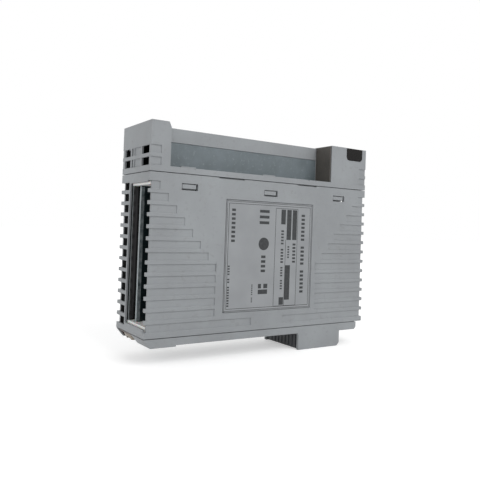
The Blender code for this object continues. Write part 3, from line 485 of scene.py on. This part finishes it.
def shadeInside(piece, low, high):      # faces inside the box from low to high take the second material, the painted shade
    if len(piece.data.materials) < 2:
        piece.data.materials.append(interiorShadePaint)
    inner = [at(*low), at(*high)]
    for face in piece.data.polygons:
        if all(inner[0][k] <= face.center[k] <= inner[1][k] for k in range(3)):
            face.material_index = 1


length, width = ((cadHigh - cadLow)[k] / mm for k in (0, 1))
skin, endSkin = (shellPlan[key] - shellPlan["inside"] for key in ("wall", "endWall"))
farSide, farEnd = width - skin, length - endSkin
front = (shellPlan["frontFoot"], shellPlan["frontTop"])
shadedRooms = {"rear_case": [(endSkin, farEnd, skin, shellPlan["shadeFoot"], shellPlan["parting"])],
         "front_housing": [(endSkin, farEnd, shellPlan["notchWall"], *front),
                           (endSkin, shellPlan["lowerBlock"], skin, *front),
                           (shellPlan["upperBlock"], farEnd, skin, *front)], "rear_base": []}
for shell, rooms in shadedRooms.items():
    piece = cleanCopy(shell, shellPlan["edge"], shellPlan["segments"], panels=True)
    piece.modifiers.remove(piece.modifiers["flats"])       # all flat walls, so each face keeps its own normal
    piece.data.shade_flat()
    settle(piece, caseAbs, shell)
    for x0, x1, nearSide, foot, top in rooms:
        shadeInside(piece, (x0, nearSide, foot), (x1, farSide, top))
print("shells done")


# nameplate: film with rounded corners, its frame lines and greeked print

platePlan = {"corner": 1.0, "ink": 0.02, "line": 0.22, "insets": (0.35, 1.35), "mark": 0.28}
(plateX0, plateY0, plateZ0), (plateX1, plateY1, plateZ1) = span("nameplate")


def alongY(u, v, w):
    return at(u, w, v)


bm = bmesh.new()
addPrism(bm, roundedOutline(plateX0, plateX1, plateZ0, plateZ1, platePlan["corner"]),
         plateY0 + platePlan["ink"], plateY1, alongY)
settle(closePiece("nameplate_film", bm), labelFilm, "nameplate")


def inkBar(bm, x0, x1, z0, z1):        # one printed mark, a layer of ink on the film's face
    addBlock(bm, x0, x1, plateY0, plateY0 + platePlan["ink"], z0, z1)


def inkFrame(bm, x0, x1, z0, z1, line):
    inkBar(bm, x0, x1, z0, z0 + line)
    inkBar(bm, x0, x1, z1 - line, z1)
    inkBar(bm, x0, x0 + line, z0 + line, z1 - line)
    inkBar(bm, x1 - line, x1, z0 + line, z1 - line)


# lines of print run down the plate: x of the line, cap height, top z, pitch, marks in each word
printLines = [
    (86.1, 2.2, 62.0, 2.05, (7, 5, 6)), (80.6, 1.9, 47.0, 1.75, (6,)), (77.0, 1.1, 45.5, 1.3, (5,)),
    (73.0, 1.6, 53.5, 1.55, (5, 5)), (73.0, 1.3, 35.0, 1.3, (4, 4)), (61.6, 2.6, 41.0, 2.3, (4,)),
    (55.4, 0.7, 26.6, 0.9, (6, 3)), (43.6, 2.1, 63.2, 2.1, (8,)), (41.8, 1.1, 36.0, 1.25, (4, 2, 8))]
inkBlocks = [                          # filled marks, each as x and z from and to
    (79.2, 82.0, 48.4, 63.6), (75.6, 78.4, 48.4, 63.6), (71.9, 74.7, 56.2, 63.6), (75.2, 78.4, 18.2, 35.6),
    (71.9, 74.7, 15.8, 19.6), (59.0, 64.6, 21.6, 23.8), (59.0, 60.8, 24.4, 26.6), (62.2, 64.6, 24.4, 26.6)]


def markShape(height, pitch):          # one plain upright bar, as wide as a narrow capital
    bm = bmesh.new()
    tall, wide = height / 2, pitch * platePlan["mark"]
    outline = [(-tall, -wide), (tall, -wide), (tall, wide), (-tall, wide)]
    addPrism(bm, outline, 0, platePlan["ink"], lambda u, v, w: Vector((u, w, v)) * mm)
    return bm


shapes, plans = {}, []
for k, (x, height, top, pitch, words) in enumerate(printLines):
    shapes[f"line{k}"] = markShape(height, pitch)
    for count in words:
        plans.append({"shape": f"line{k}", "start": (x, plateY0, top - pitch / 2), "step": (0, 0, -pitch),
                      "columns": count})
        top -= (count + 1) * pitch
addDetail(copies("nameplate_print", shapes, labelInk, plans), labelInk, "nameplate_film")
bm = bmesh.new()
for inset in platePlan["insets"]:
    inkFrame(bm, plateX0 + inset, plateX1 - inset, plateZ0 + inset, plateZ1 - inset, platePlan["line"])
inkFrame(bm, 68.4, 82.6, 15.2, 64.2, platePlan["line"])
inkBar(bm, 75.0, 75.0 + platePlan["line"], 15.4, 48.4)
for block in inkBlocks:
    inkBar(bm, *block)
disc = {"x": 61.6, "z": 46.2, "radius": 3.1}
addPrism(bm, [(disc["x"] + disc["radius"] * math.cos(angle), disc["z"] + disc["radius"] * math.sin(angle))
              for angle in (k * math.pi / 20 for k in range(40))],
         plateY0, plateY0 + platePlan["ink"], alongY)
bars = {"x0": 58.7, "x1": 64.5, "half": 0.7, "middles": (62.2, 59.4, 56.6)}
for z in bars["middles"]:              # three plain bars stand at the line's head
    inkBar(bm, bars["x0"], bars["x1"], z - bars["half"], z + bars["half"])
addDetail(closePiece("nameplate_lines", bm), labelInk, "nameplate_film")
print("nameplate done")


# notch plates, window, lamps

bm = bmesh.new()
(x0, y0, z0), (x1, y1, z1) = span("notch_barrier")
fill = 0.45              # the sheet reaches into its rebate, closer to its neighbours than the gap
addBlock(bm, x0 - fill, x1 + fill, y0, y1, z0 - fill, z1 + 0.15)
barrier = closePiece("notch_barrier_sheet", bm)
roundEdges(barrier, 0.08)
settle(barrier, barrierPbt, "notch_barrier")
plate = cleanCopy("notch_end_plate", 0.08)
settle(plate, endPlatePbt, "notch_end_plate")
settle(cleanCopy("led_window", 0.2, 3), smokedPc, "led_window")

settle(cleanCopy("led_light_guide", 0.2, 3), clearAcrylic, "led_light_guide")
for k in range(1, 5):
    node = f"status_led_{k}"
    (x0, y0, z0), (x1, y1, z1) = span(node)
    bm = bmesh.new()
    addBlock(bm, x0, x1, y0 + 0.45, y1, z0, z1)
    radius = (z1 - z0) / 2
    turnedSolid(bm, [(radius, 0.45), (radius, 0.75), (radius * 0.8, 0.93), (radius * 0.4, 1.03),
                     (radius * 0.1, 1.06)], ((x0 + x1) / 2, y1 - 0.01, (z0 + z1) / 2), (0, -1, 0), 20)
    settle(closePiece(f"status_lamp_{k}", bm), lampEpoxy, node)
print("notch and lamps done")


# boards: masked faces, pale cut edges, rows of solder joints and small chip parts

def boardPiece(node):
    piece = cleanCopy(node, 0.06, 1)
    settle(piece, solderMask, node)
    piece.data.materials.append(laminateEdge)
    for face in piece.data.polygons:
        if abs(face.normal.y) < 0.5:
            face.material_index = 1


for node in ("io_board", "logic_board"):
    boardPiece(node)


def jointShape(radius, height, axis):  # a dome of solder round a lead's end
    bm = bmesh.new()
    profile = [(radius, 0), (radius * 0.8, height * 0.35), (radius * 0.45, height * 0.75),
               (radius * 0.3, height)]
    turn = Vector((0, 0, 1)).rotation_difference(Vector(axis))
    rings = [[bm.verts.new(turn @ Vector((r * math.cos(a), r * math.sin(a), h)) * mm)
              for a in (math.pi * k / 4 for k in range(8))] for r, h in profile]
    loft(bm, rings)
    return bm


def boxShape(*blocks):                 # a small shape about its own origin
    bm = bmesh.new()
    for x0, x1, y0, y1, z0, z1 in blocks:
        size = Matrix.Diagonal(((x1 - x0) * mm, (y1 - y0) * mm, (z1 - z0) * mm, 1))
        middle = Matrix.Translation(Vector((x0 + x1, y0 + y1, z0 + z1)) * mm / 2)
        bmesh.ops.create_cube(bm, size=1.0, matrix=middle @ size)
    return bm


ioFace = span("io_board")[0][1]        # label-side faces of the two boards
logicFace = span("logic_board")[0][1]
joints = [{"start": (22, ioFace, 70), "step": (2.54, 0, 0), "columns": 34, "rowStep": (0, 0, 3.8), "rows": 2},
          {"start": (72, ioFace, 12), "step": (3.81, 0, 0), "columns": 12, "rowStep": (0, 0, 7.62), "rows": 3,
           "keep": 0.6, "seed": 5},
          {"start": (26.6, ioFace, 91.0), "step": (2.54, 0, 0), "columns": 25, "rowStep": (0, 0, 2.54),
           "rows": 2}]
joint = jointShape(0.62, 0.7, (0, -1, 0))
addDetail(copies("io_board_joints", {"joint": joint}, brightSteel, joints), brightSteel, "bright_metal")
stripPlan = {"width": 1.4, "edge": 3.5, "foot": 9.6, "run": 61.4, "steps": 44, "thick": 0.08, "swell": 0.05}
bm = bmesh.new()
for x0 in (stripPlan["edge"], length - stripPlan["edge"] - stripPlan["width"]):
    for k in range(stripPlan["steps"]):         # earth strips, tinned unevenly by the solder wave; their pale tin is partly painted light on the board's end
        low, high = (stripPlan["foot"] + stripPlan["run"] * j / stripPlan["steps"] for j in (k, k + 1))
        rise = stripPlan["thick"] + stripPlan["swell"] * math.sin(k * 1.9) * math.sin(k * 0.7)
        addBlock(bm, x0, x0 + stripPlan["width"], ioFace - rise, ioFace, low, high)
addDetail(closePiece("io_board_earth_strips", bm), tinAndPaintedLight, "bright_metal")
bodyShape = boxShape((-0.7, 0.7, -0.6, 0, -0.6, 0.6))
capShape = boxShape((-1.05, -0.7, -0.62, 0, -0.62, 0.62), (0.7, 1.05, -0.62, 0, -0.62, 0.62))
chipRows = [{"start": (26, ioFace, 32), "step": (4.2, 0, 0), "columns": 20, "rowStep": (0, 0, 3.1), "rows": 6,
             "keep": 0.55, "seed": 11},
            {"start": (26, ioFace, 66.6), "step": (4.2, 0, 0), "columns": 20},
            {"start": (86, logicFace, 12), "step": (4.2, 0, 0), "columns": 8, "rowStep": (0, 0, 3.1),
             "rows": 3, "keep": 0.6, "seed": 4},
            {"start": (24, logicFace, 60), "step": (4.2, 0, 0), "columns": 18, "rowStep": (0, 0, 3.1),
             "rows": 3, "keep": 0.6, "seed": 8}]
addDetail(copies("chip_part_bodies", {"body": bodyShape}, chipEpoxy, chipRows), chipEpoxy, "chip_epoxy")
addDetail(copies("chip_part_ends", {"ends": capShape}, brightSteel, chipRows), brightSteel, "bright_metal")
for node in ("lower_front_board_guide", "lower_rear_board_guide", "upper_front_board_guide",
             "upper_rear_board_guide"):
    settle(cleanCopy(node, 0.25, 3), naturalNylon, node)
print("boards done")


# chips: moulded bodies with a dimple at the first lead, gull-wing leads laid out by the grid

def chipBody(node, draft=0.25, dimple=0.5):
    (x0, y0, z0), (x1, y1, z1) = span(node)
    middle = (y0 + y1) / 2
    bm = bmesh.new()
    levels = [(y0, draft), (middle - 0.05, 0.0), (middle + 0.05, 0.0), (y1, draft)]
    rings = [[bm.verts.new(at(x, y, z)) for x, z in ((x0 + d, z0 + d), (x1 - d, z0 + d), (x1 - d, z1 - d),
                                                     (x0 + d, z1 - d))] for y, d in levels]
    loft(bm, rings)
    piece = closePiece(node + "_body", bm)
    pit = bmesh.new()
    turnedSolid(pit, [(dimple, -0.2), (dimple, 0.12)], (x0 + 1.6, y0, z0 + 1.6), (0, 1, 0), 16)
    carve(piece, closePiece("dimple", pit))
    roundEdges(piece, 0.08)
    settle(piece, chipEpoxy, node)


def gullWing(out, drop, width, axis):  # a lead that leaves the body, drops to the board and turns flat
    thick = 0.16
    side = [(-0.3, 0), (out * 0.4, 0), (out * 0.6, -drop), (out, -drop), (out, -drop - thick),
            (out * 0.45, -drop - thick), (out * 0.25, -thick), (-0.3, -thick)]
    turn = {"x": lambda u, v, w: Vector((u, -v, w)), "-x": lambda u, v, w: Vector((-u, -v, w)),
            "z": lambda u, v, w: Vector((w, -v, u)), "-z": lambda u, v, w: Vector((w, -v, -u))}[axis]
    bm = bmesh.new()
    addPrism(bm, side, -width / 2, width / 2, lambda u, v, w: turn(u, v, w) * mm)
    return bm


chipPlans = {"processor_chip": (0.8, 28, "xz"), "bus_controller_chip": (0.8, 23, "xz"),
             "memory_chip": (0.65, 16, "z")}
couplers = [f"photocoupler_{k}" for k in range(1, 9)]
for node in (*chipPlans, *couplers):
    chipBody(node)
leads, shapes = [], {}
for axis in ("x", "-x", "z", "-z"):
    shapes[axis] = gullWing(1.1, 0.75, 0.3, axis)
for node, (pitch, count, sides) in chipPlans.items():
    (x0, y0, z0), (x1, y1, z1) = span(node)
    reach, level = pitch * (count - 1) / 2, (y0 + y1) / 2
    midX, midZ = (x0 + x1) / 2, (z0 + z1) / 2
    for axis, edge in (("x", x1), ("-x", x0)):
        if "x" in sides:
            leads.append({"shape": axis, "start": (edge, level, midZ - reach), "step": (0, 0, pitch),
                          "columns": count})
    for axis, edge in (("z", z1), ("-z", z0)):
        leads.append({"shape": axis, "start": (midX - reach, level, edge), "step": (pitch, 0, 0),
                      "columns": count})
addDetail(copies("chip_leads", shapes, brightSteel, leads), brightSteel, "bright_metal")
leads, shapes = [], {axis: gullWing(1.2, 1.35, 0.5, axis) for axis in ("x", "-x")}
for node in couplers:
    (x0, y0, z0), (x1, y1, z1) = span(node)
    for axis, edge in (("x", x1), ("-x", x0)):
        leads.append({"shape": axis, "start": (edge, (y0 + y1) / 2, z0 + 1.39), "step": (0, 0, 2.54),
                      "columns": 4})
addDetail(copies("coupler_leads", shapes, brightSteel, leads), brightSteel, "bright_metal")
print("chips done")


# transformer, capacitors, crystal, link connector, standoffs

coilPlan = {"end": 2.6, "side": 1.2, "leg": 3.2, "top": 0.6, "foot": 1.6, "gap": 0.1,
            "cheek": 0.8, "bobbin": 3.3, "tape": 3.5, "tapeTop": 1.0}      # cheeks hold the taped winding
(x0, y0, z0), (x1, y1, z1) = span("isolation_transformer")
end, side, leg = coilPlan["end"], coilPlan["side"], coilPlan["leg"]
deep = (y0 + coilPlan["top"], y1 - coilPlan["foot"])
bm = bmesh.new()
for low, high in ((z0, z0 + end), (z1 - end, z1)):      # ferrite E core seen at both ends of the winding
    addBlock(bm, x0 + side, x1 - side, *deep, low, high)
addBlock(bm, x0 + side, x0 + leg, *deep, z0 + end, z1 - end)
addBlock(bm, x1 - leg, x1 - side, *deep, z0 + end, z1 - end)
core = closePiece("transformer_core", bm)
roundEdges(core, 0.25, 3)
addDetail(core, ferriteCore, "taped_coil")
bm = bmesh.new()
inner, outer = end + coilPlan["cheek"], end + coilPlan["gap"]
tape, bobbin = coilPlan["tape"], coilPlan["bobbin"]
addPrism(bm, roundedOutline(x0 + tape, x1 - tape, y0, y1 - coilPlan["tapeTop"], 1.6),
         z0 + inner, z1 - inner, at)
for low, high in ((z0 + outer, z0 + inner), (z1 - inner, z1 - outer)):
    addPrism(bm, roundedOutline(x0 + bobbin, x1 - bobbin, y0, y1, 0.8), low, high, at)
coil = closePiece("transformer_winding", bm)
roundEdges(coil, 0.15)
settle(coil, windingTape, "isolation_transformer")

for k in (1, 2):
    node = f"filter_capacitor_{k}"
    (x0, y0, z0), (x1, y1, z1) = span(node)
    radius, height = (x1 - x0) / 2, y1 - y0
    middle = ((x0 + x1) / 2, y1, (z0 + z1) / 2)
    bm = bmesh.new()
    turnedSolid(bm, [(radius - 0.25, 0), (radius, 0.25), (radius, 1.2), (radius - 0.15, 1.35),
                     (radius - 0.35, 1.6), (radius - 0.15, 1.85), (radius, 2.0), (radius, height - 0.35),
                     (radius - 0.1, height - 0.1), (radius - 0.4, height - 0.02),
                     (radius - 0.7, height - 0.02)], middle, (0, -1, 0), 48)
    sleeve = closePiece(f"capacitor_sleeve_{k}", bm)
    sleeve.data.shade_smooth()
    settle(sleeve, canSleeve, node)
    bm = bmesh.new()
    turnedSolid(bm, [(radius - 0.75, height - 0.3), (radius - 0.75, height - 0.05), (radius - 0.9, height)],
                middle, (0, -1, 0), 48)
    top = closePiece(f"capacitor_top_{k}", bm)
    roundEdges(top, 0.05)
    addDetail(top, brightSteel, "bright_metal")

(x0, y0, z0), (x1, y1, z1) = span("crystal_can")
bm = bmesh.new()
addPrism(bm, roundedOutline(x0 + 0.2, x1 - 0.2, y0, y1 - 0.2, 1.1), z0 + 0.6, z1, at)
addPrism(bm, roundedOutline(x0, x1, y0, y1, 1.2), z0, z0 + 0.5, at)
crystal = closePiece("crystal_case", bm)
roundEdges(crystal, 0.18, 3)
settle(crystal, brightSteel, "crystal_can")

(x0, y0, z0), (x1, y1, z1) = span("board_link_connector")
link = cleanCopy("board_link_connector", 0.25, 3)
settle(link, connectorPbt, "board_link_connector")
reach = (y1 - y0) / 2 - 0.5
linkRib = boxShape((-0.35, 0.35, -reach, reach, 0, 0.18))
addDetail(copies("board_link_ribs", {"rib": linkRib}, connectorPbt, [{
    "start": (x0 + 2.3, (y0 + y1) / 2, z1 - 0.02), "step": (2.54, 0, 0), "columns": 12}]),
          connectorPbt, "connector_plastic")
for k in range(1, 5):
    settle(cleanCopy(f"standoff_{k}", 0.2, 3), brightSteel, f"standoff_{k}")
    for board in ("io_board", "logic_board"):
        node = f"{board}_screw_{k}"
        settle(cleanCopy(node, 0.1, 2), brightSteel, node)
print("board parts done")


# connectors

for node in ("field_connector_housing", "backplane_connector_housing"):
    settle(cleanCopy(node, 0.2, 3), connectorPbt, node)
ribPlan = {"pitch": 2.9, "half": 0.5, "proud": 0.35, "margin": 1.3, "foot": 0.5, "top": -0.9}
(x0, y0, z0), (x1, y1, z1) = span("backplane_connector_housing")
bm = bmesh.new()
y = y0 + ribPlan["margin"] + ribPlan["half"]           # grip ribs on the plug's open-end face
while y < y1 - ribPlan["margin"]:
    addBlock(bm, x0 - ribPlan["proud"], x0, y - ribPlan["half"], y + ribPlan["half"],
             z0 + ribPlan["foot"], ribPlan["top"])
    y += ribPlan["pitch"]
ribs = closePiece("backplane_plug_ribs", bm)
roundEdges(ribs, 0.1)
addDetail(ribs, connectorPbt, "connector_plastic")
(x0, y0, z0), (x1, y1, z1) = span("field_connector_contacts")
pinPlan = {"pitch": 2.54, "count": 25, "half": 0.32, "foot": 0.9}
carrier = bmesh.new()
addBlock(carrier, x0, x1, y0, y1, z0, z0 + pinPlan["foot"])
carrierPiece = closePiece("field_pin_carrier", carrier)
roundEdges(carrierPiece, 0.1)
addDetail(carrierPiece, connectorPbt, "connector_plastic")
pin = bmesh.new()
half, height = pinPlan["half"], z1 - z0 - pinPlan["foot"]
levels = [(0, half), (height - 1.0, half), (height - 0.25, half * 0.45), (height, half * 0.3)]
rings = [[pin.verts.new(Vector((sx * r, sy * r, h)) * mm) for sx, sy in ((-1, -1), (1, -1), (1, 1), (-1, 1))]
         for h, r in levels]
loft(pin, rings)
middleX, middleY = (x0 + x1) / 2, (y0 + y1) / 2
pins = copies("field_pins", {"pin": pin}, contactGold, [{
    "start": (middleX - pinPlan["pitch"] * (pinPlan["count"] - 1) / 2, middleY - pinPlan["pitch"] / 2,
              z0 + pinPlan["foot"]),
    "step": (pinPlan["pitch"], 0, 0), "columns": pinPlan["count"], "rowStep": (0, pinPlan["pitch"], 0),
    "rows": 2}])
settle(pins, contactGold, "field_connector_contacts")
for k in (1, 2):
    settle(cleanCopy(f"backplane_contacts_{k}", 0.08, 1), contactGold, f"backplane_contacts_{k}")
print("connectors done")


# captive screws, rings and bushes

screwPlan = {"radius": 1.95, "headRadius": 3.5, "headHeight": 2.8, "neck": 1.35, "slot": 0.55,
             "slotReach": 2.6, "slotDepth": 1.3, "threadTop": 22.0, "pitch": 0.7, "threadDepth": 0.16,
             "spigot": 3.8}


def fixingScrew(end):
    node = f"{end}_fixing_screw"
    (x0, y0, z0), (x1, y1, z1) = span(node)
    ringLow, ringHigh = (span(f"{end}_retaining_ring")[k][2] for k in (0, 1))
    x, y = (x0 + x1) / 2, (y0 + y1) / 2
    radius, head, neck = screwPlan["radius"], screwPlan["headRadius"], screwPlan["neck"]
    core = radius - screwPlan["threadDepth"]
    foot = z1 - screwPlan["headHeight"]
    profile = [(radius - 0.9, z0), (core, z0 + 0.7), (core, screwPlan["threadTop"]),
               (radius, screwPlan["threadTop"] + 0.3), (radius, ringLow - 0.4), (neck, ringLow - 0.3),
               (neck, ringHigh + 0.1), (radius, ringHigh + 0.2), (radius, foot), (head - 0.15, foot),
               (head, foot + 0.15), (head, z1 - 0.7), (head - 0.12, z1 - 0.35), (head - 0.35, z1 - 0.12),
               (head - 0.7, z1)]
    bm = bmesh.new()
    turnedSolid(bm, profile, (x, y, 0), (0, 0, 1), 48)
    screw = closePiece(node + "_turned", bm)
    wide, reach, deep = screwPlan["slot"], screwPlan["slotReach"], z1 - screwPlan["slotDepth"]
    for halfX, halfY in ((wide, reach), (reach, wide)):
        tool = bmesh.new()
        addBlock(tool, x - halfX, x + halfX, y - halfY, y + halfY, deep, z1 + 1)
        carve(screw, closePiece("slot", tool))
    roundEdges(screw, 0.08, 2, 50)
    settle(screw, blackSteel, node)
    turns = (screwPlan["threadTop"] - z0 - 1.0) / screwPlan["pitch"]
    ridge = runTree(f"{end}_screw_thread", threadHelix, {
        "Turns": turns, "Radius": core * mm, "Rise": turns * screwPlan["pitch"] * mm,
        "Depth": screwPlan["threadDepth"] * 1.2 * mm, "Start": at(x, y, z0 + 0.8), "Material": blackSteel})
    thread = linkPiece(ridge.name, ridge)
    settle(thread, blackSteel, body=bodyOf[node], slot=slotOf[node])


for end in ("lower", "upper"):
    fixingScrew(end)
    settle(cleanCopy(f"{end}_retaining_ring", 0.12, 2), brightSteel, f"{end}_retaining_ring")
    bush = cleanCopy(f"{end}_screw_bush", 0.15, 2)
    settle(bush, chromateAndShadeZinc, f"{end}_screw_bush")
    bush.data.materials.append(litSpigotZinc)
    (x0, y0, z0), (x1, y1, z1) = span(f"{end}_fixing_screw")
    axis = at((x0 + x1) / 2, (y0 + y1) / 2, 0)
    # faces round the lower spigot take the lighter zinc: painted light between the pockets' painted shade
    for face in bush.data.polygons:
        if end == "lower" and (face.center - axis).xy.length < screwPlan["spigot"] * mm:
            face.material_index = 1
print("screws done")


# stage
cameraPlan = {"place": (-160.14, -235.36, 62.18), "forward": (0.54792, 0.83619, 0.0239), "roll": 2.07,
              "focal": 41.0, "shift": (-0.0049, -0.0546)}
stagePlan = {"ambient": 0.5, "key": 4.0, "fill": 1.7, "back": 2.0, "nearGlow": 0.42, "farGlow": 0.62}

camera = bpy.data.objects.new("camera", bpy.data.cameras.new("camera"))
bpy.context.scene.collection.objects.link(camera)
camera.location = Vector(cameraPlan["place"]) * mm
camera.rotation_mode = "QUATERNION"
aim = Vector(cameraPlan["forward"]).to_track_quat("-Z", "Y")
camera.rotation_quaternion = aim @ Quaternion((0, 0, 1), math.radians(cameraPlan["roll"]))
camera.data.lens = cameraPlan["focal"]
camera.data.sensor_width = 36
camera.data.shift_x, camera.data.shift_y = cameraPlan["shift"]
camera.data.clip_start = 0.01
bpy.context.scene.camera = camera


def seenDirectly(tree):                # 1 for rays that show the backdrop, 0 for rays that light the part
    rays = addNode(tree, "ShaderNodeLightPath").outputs
    total = addNode(tree, "ShaderNodeMath", {0: rays["Is Camera Ray"], 1: rays["Is Glossy Ray"]},
                    operation="MAXIMUM")
    return addNode(tree, "ShaderNodeMath", {0: total.outputs[0], 1: rays["Is Transmission Ray"]},
                   operation="MAXIMUM").outputs[0]


world = bpy.data.worlds.new("studio")
bpy.context.scene.world = world
world.use_nodes = True
sky = world.node_tree
strength = addNode(sky, "ShaderNodeMapRange", {"Value": seenDirectly(sky), "To Min": stagePlan["ambient"],
                                               "To Max": 1.0})
sky.nodes["Background"].inputs["Color"].default_value = (1, 1, 1, 1)
sky.links.new(strength.outputs["Result"], sky.nodes["Background"].inputs["Strength"])


def areaLamp(name, place, size, power):
    lamp = bpy.data.objects.new(name, bpy.data.lights.new(name, "AREA"))
    lamp.data.size = size
    lamp.data.energy = power
    lamp.location = place
    lamp.rotation_euler = (Vector((0, 0, 0.05)) - Vector(place)).to_track_quat("-Z", "Y").to_euler()
    bpy.context.scene.collection.objects.link(lamp)


areaLamp("key", (0.15, -0.75, 0.7), 0.6, stagePlan["key"])
areaLamp("fill", (-0.8, -0.25, 0.4), 0.7, stagePlan["fill"])
areaLamp("back", (0.3, 0.8, 0.5), 0.7, stagePlan["back"])

floorMesh = bpy.data.meshes.new("floor")
bm = bmesh.new()
bmesh.ops.create_grid(bm, x_segments=1, y_segments=1, size=4.0)
bm.to_mesh(floorMesh)
bm.free()
floor = linkPiece("floor", floorMesh)
floorPaint, tree, shader, place = startMaterial("pale painted floor", Roughness=0.85)
mottle = addNode(tree, "ShaderNodeTexNoise", {"Vector": place, "Scale": 3.0, "Detail": 2.0})
paint = addNode(tree, "ShaderNodeMix", {0: mottle.outputs["Fac"], 6: linear("E6E6E6"), 7: linear("EAEAEA")},
                data_type="RGBA")
distance = addNode(tree, "ShaderNodeVectorMath", {0: place}, operation="LENGTH")
whiter = addNode(tree, "ShaderNodeMapRange", {
    "Value": distance.outputs["Value"], "From Min": 0.2, "From Max": 1.0, "To Min": stagePlan["nearGlow"],
    "To Max": stagePlan["farGlow"]})
glow = addNode(tree, "ShaderNodeMath", {0: seenDirectly(tree), 1: whiter.outputs["Result"]},
               operation="MULTIPLY")
tree.links.new(paint.outputs[2], shader.inputs["Base Color"])
tree.links.new(glow.outputs[0], shader.inputs["Emission Strength"])
shader.inputs["Emission Color"].default_value = (1, 1, 1, 1)
floor.data.materials.append(floorPaint)
floor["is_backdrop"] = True
bpy.context.scene.view_settings.view_transform = "Standard"

low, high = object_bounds()
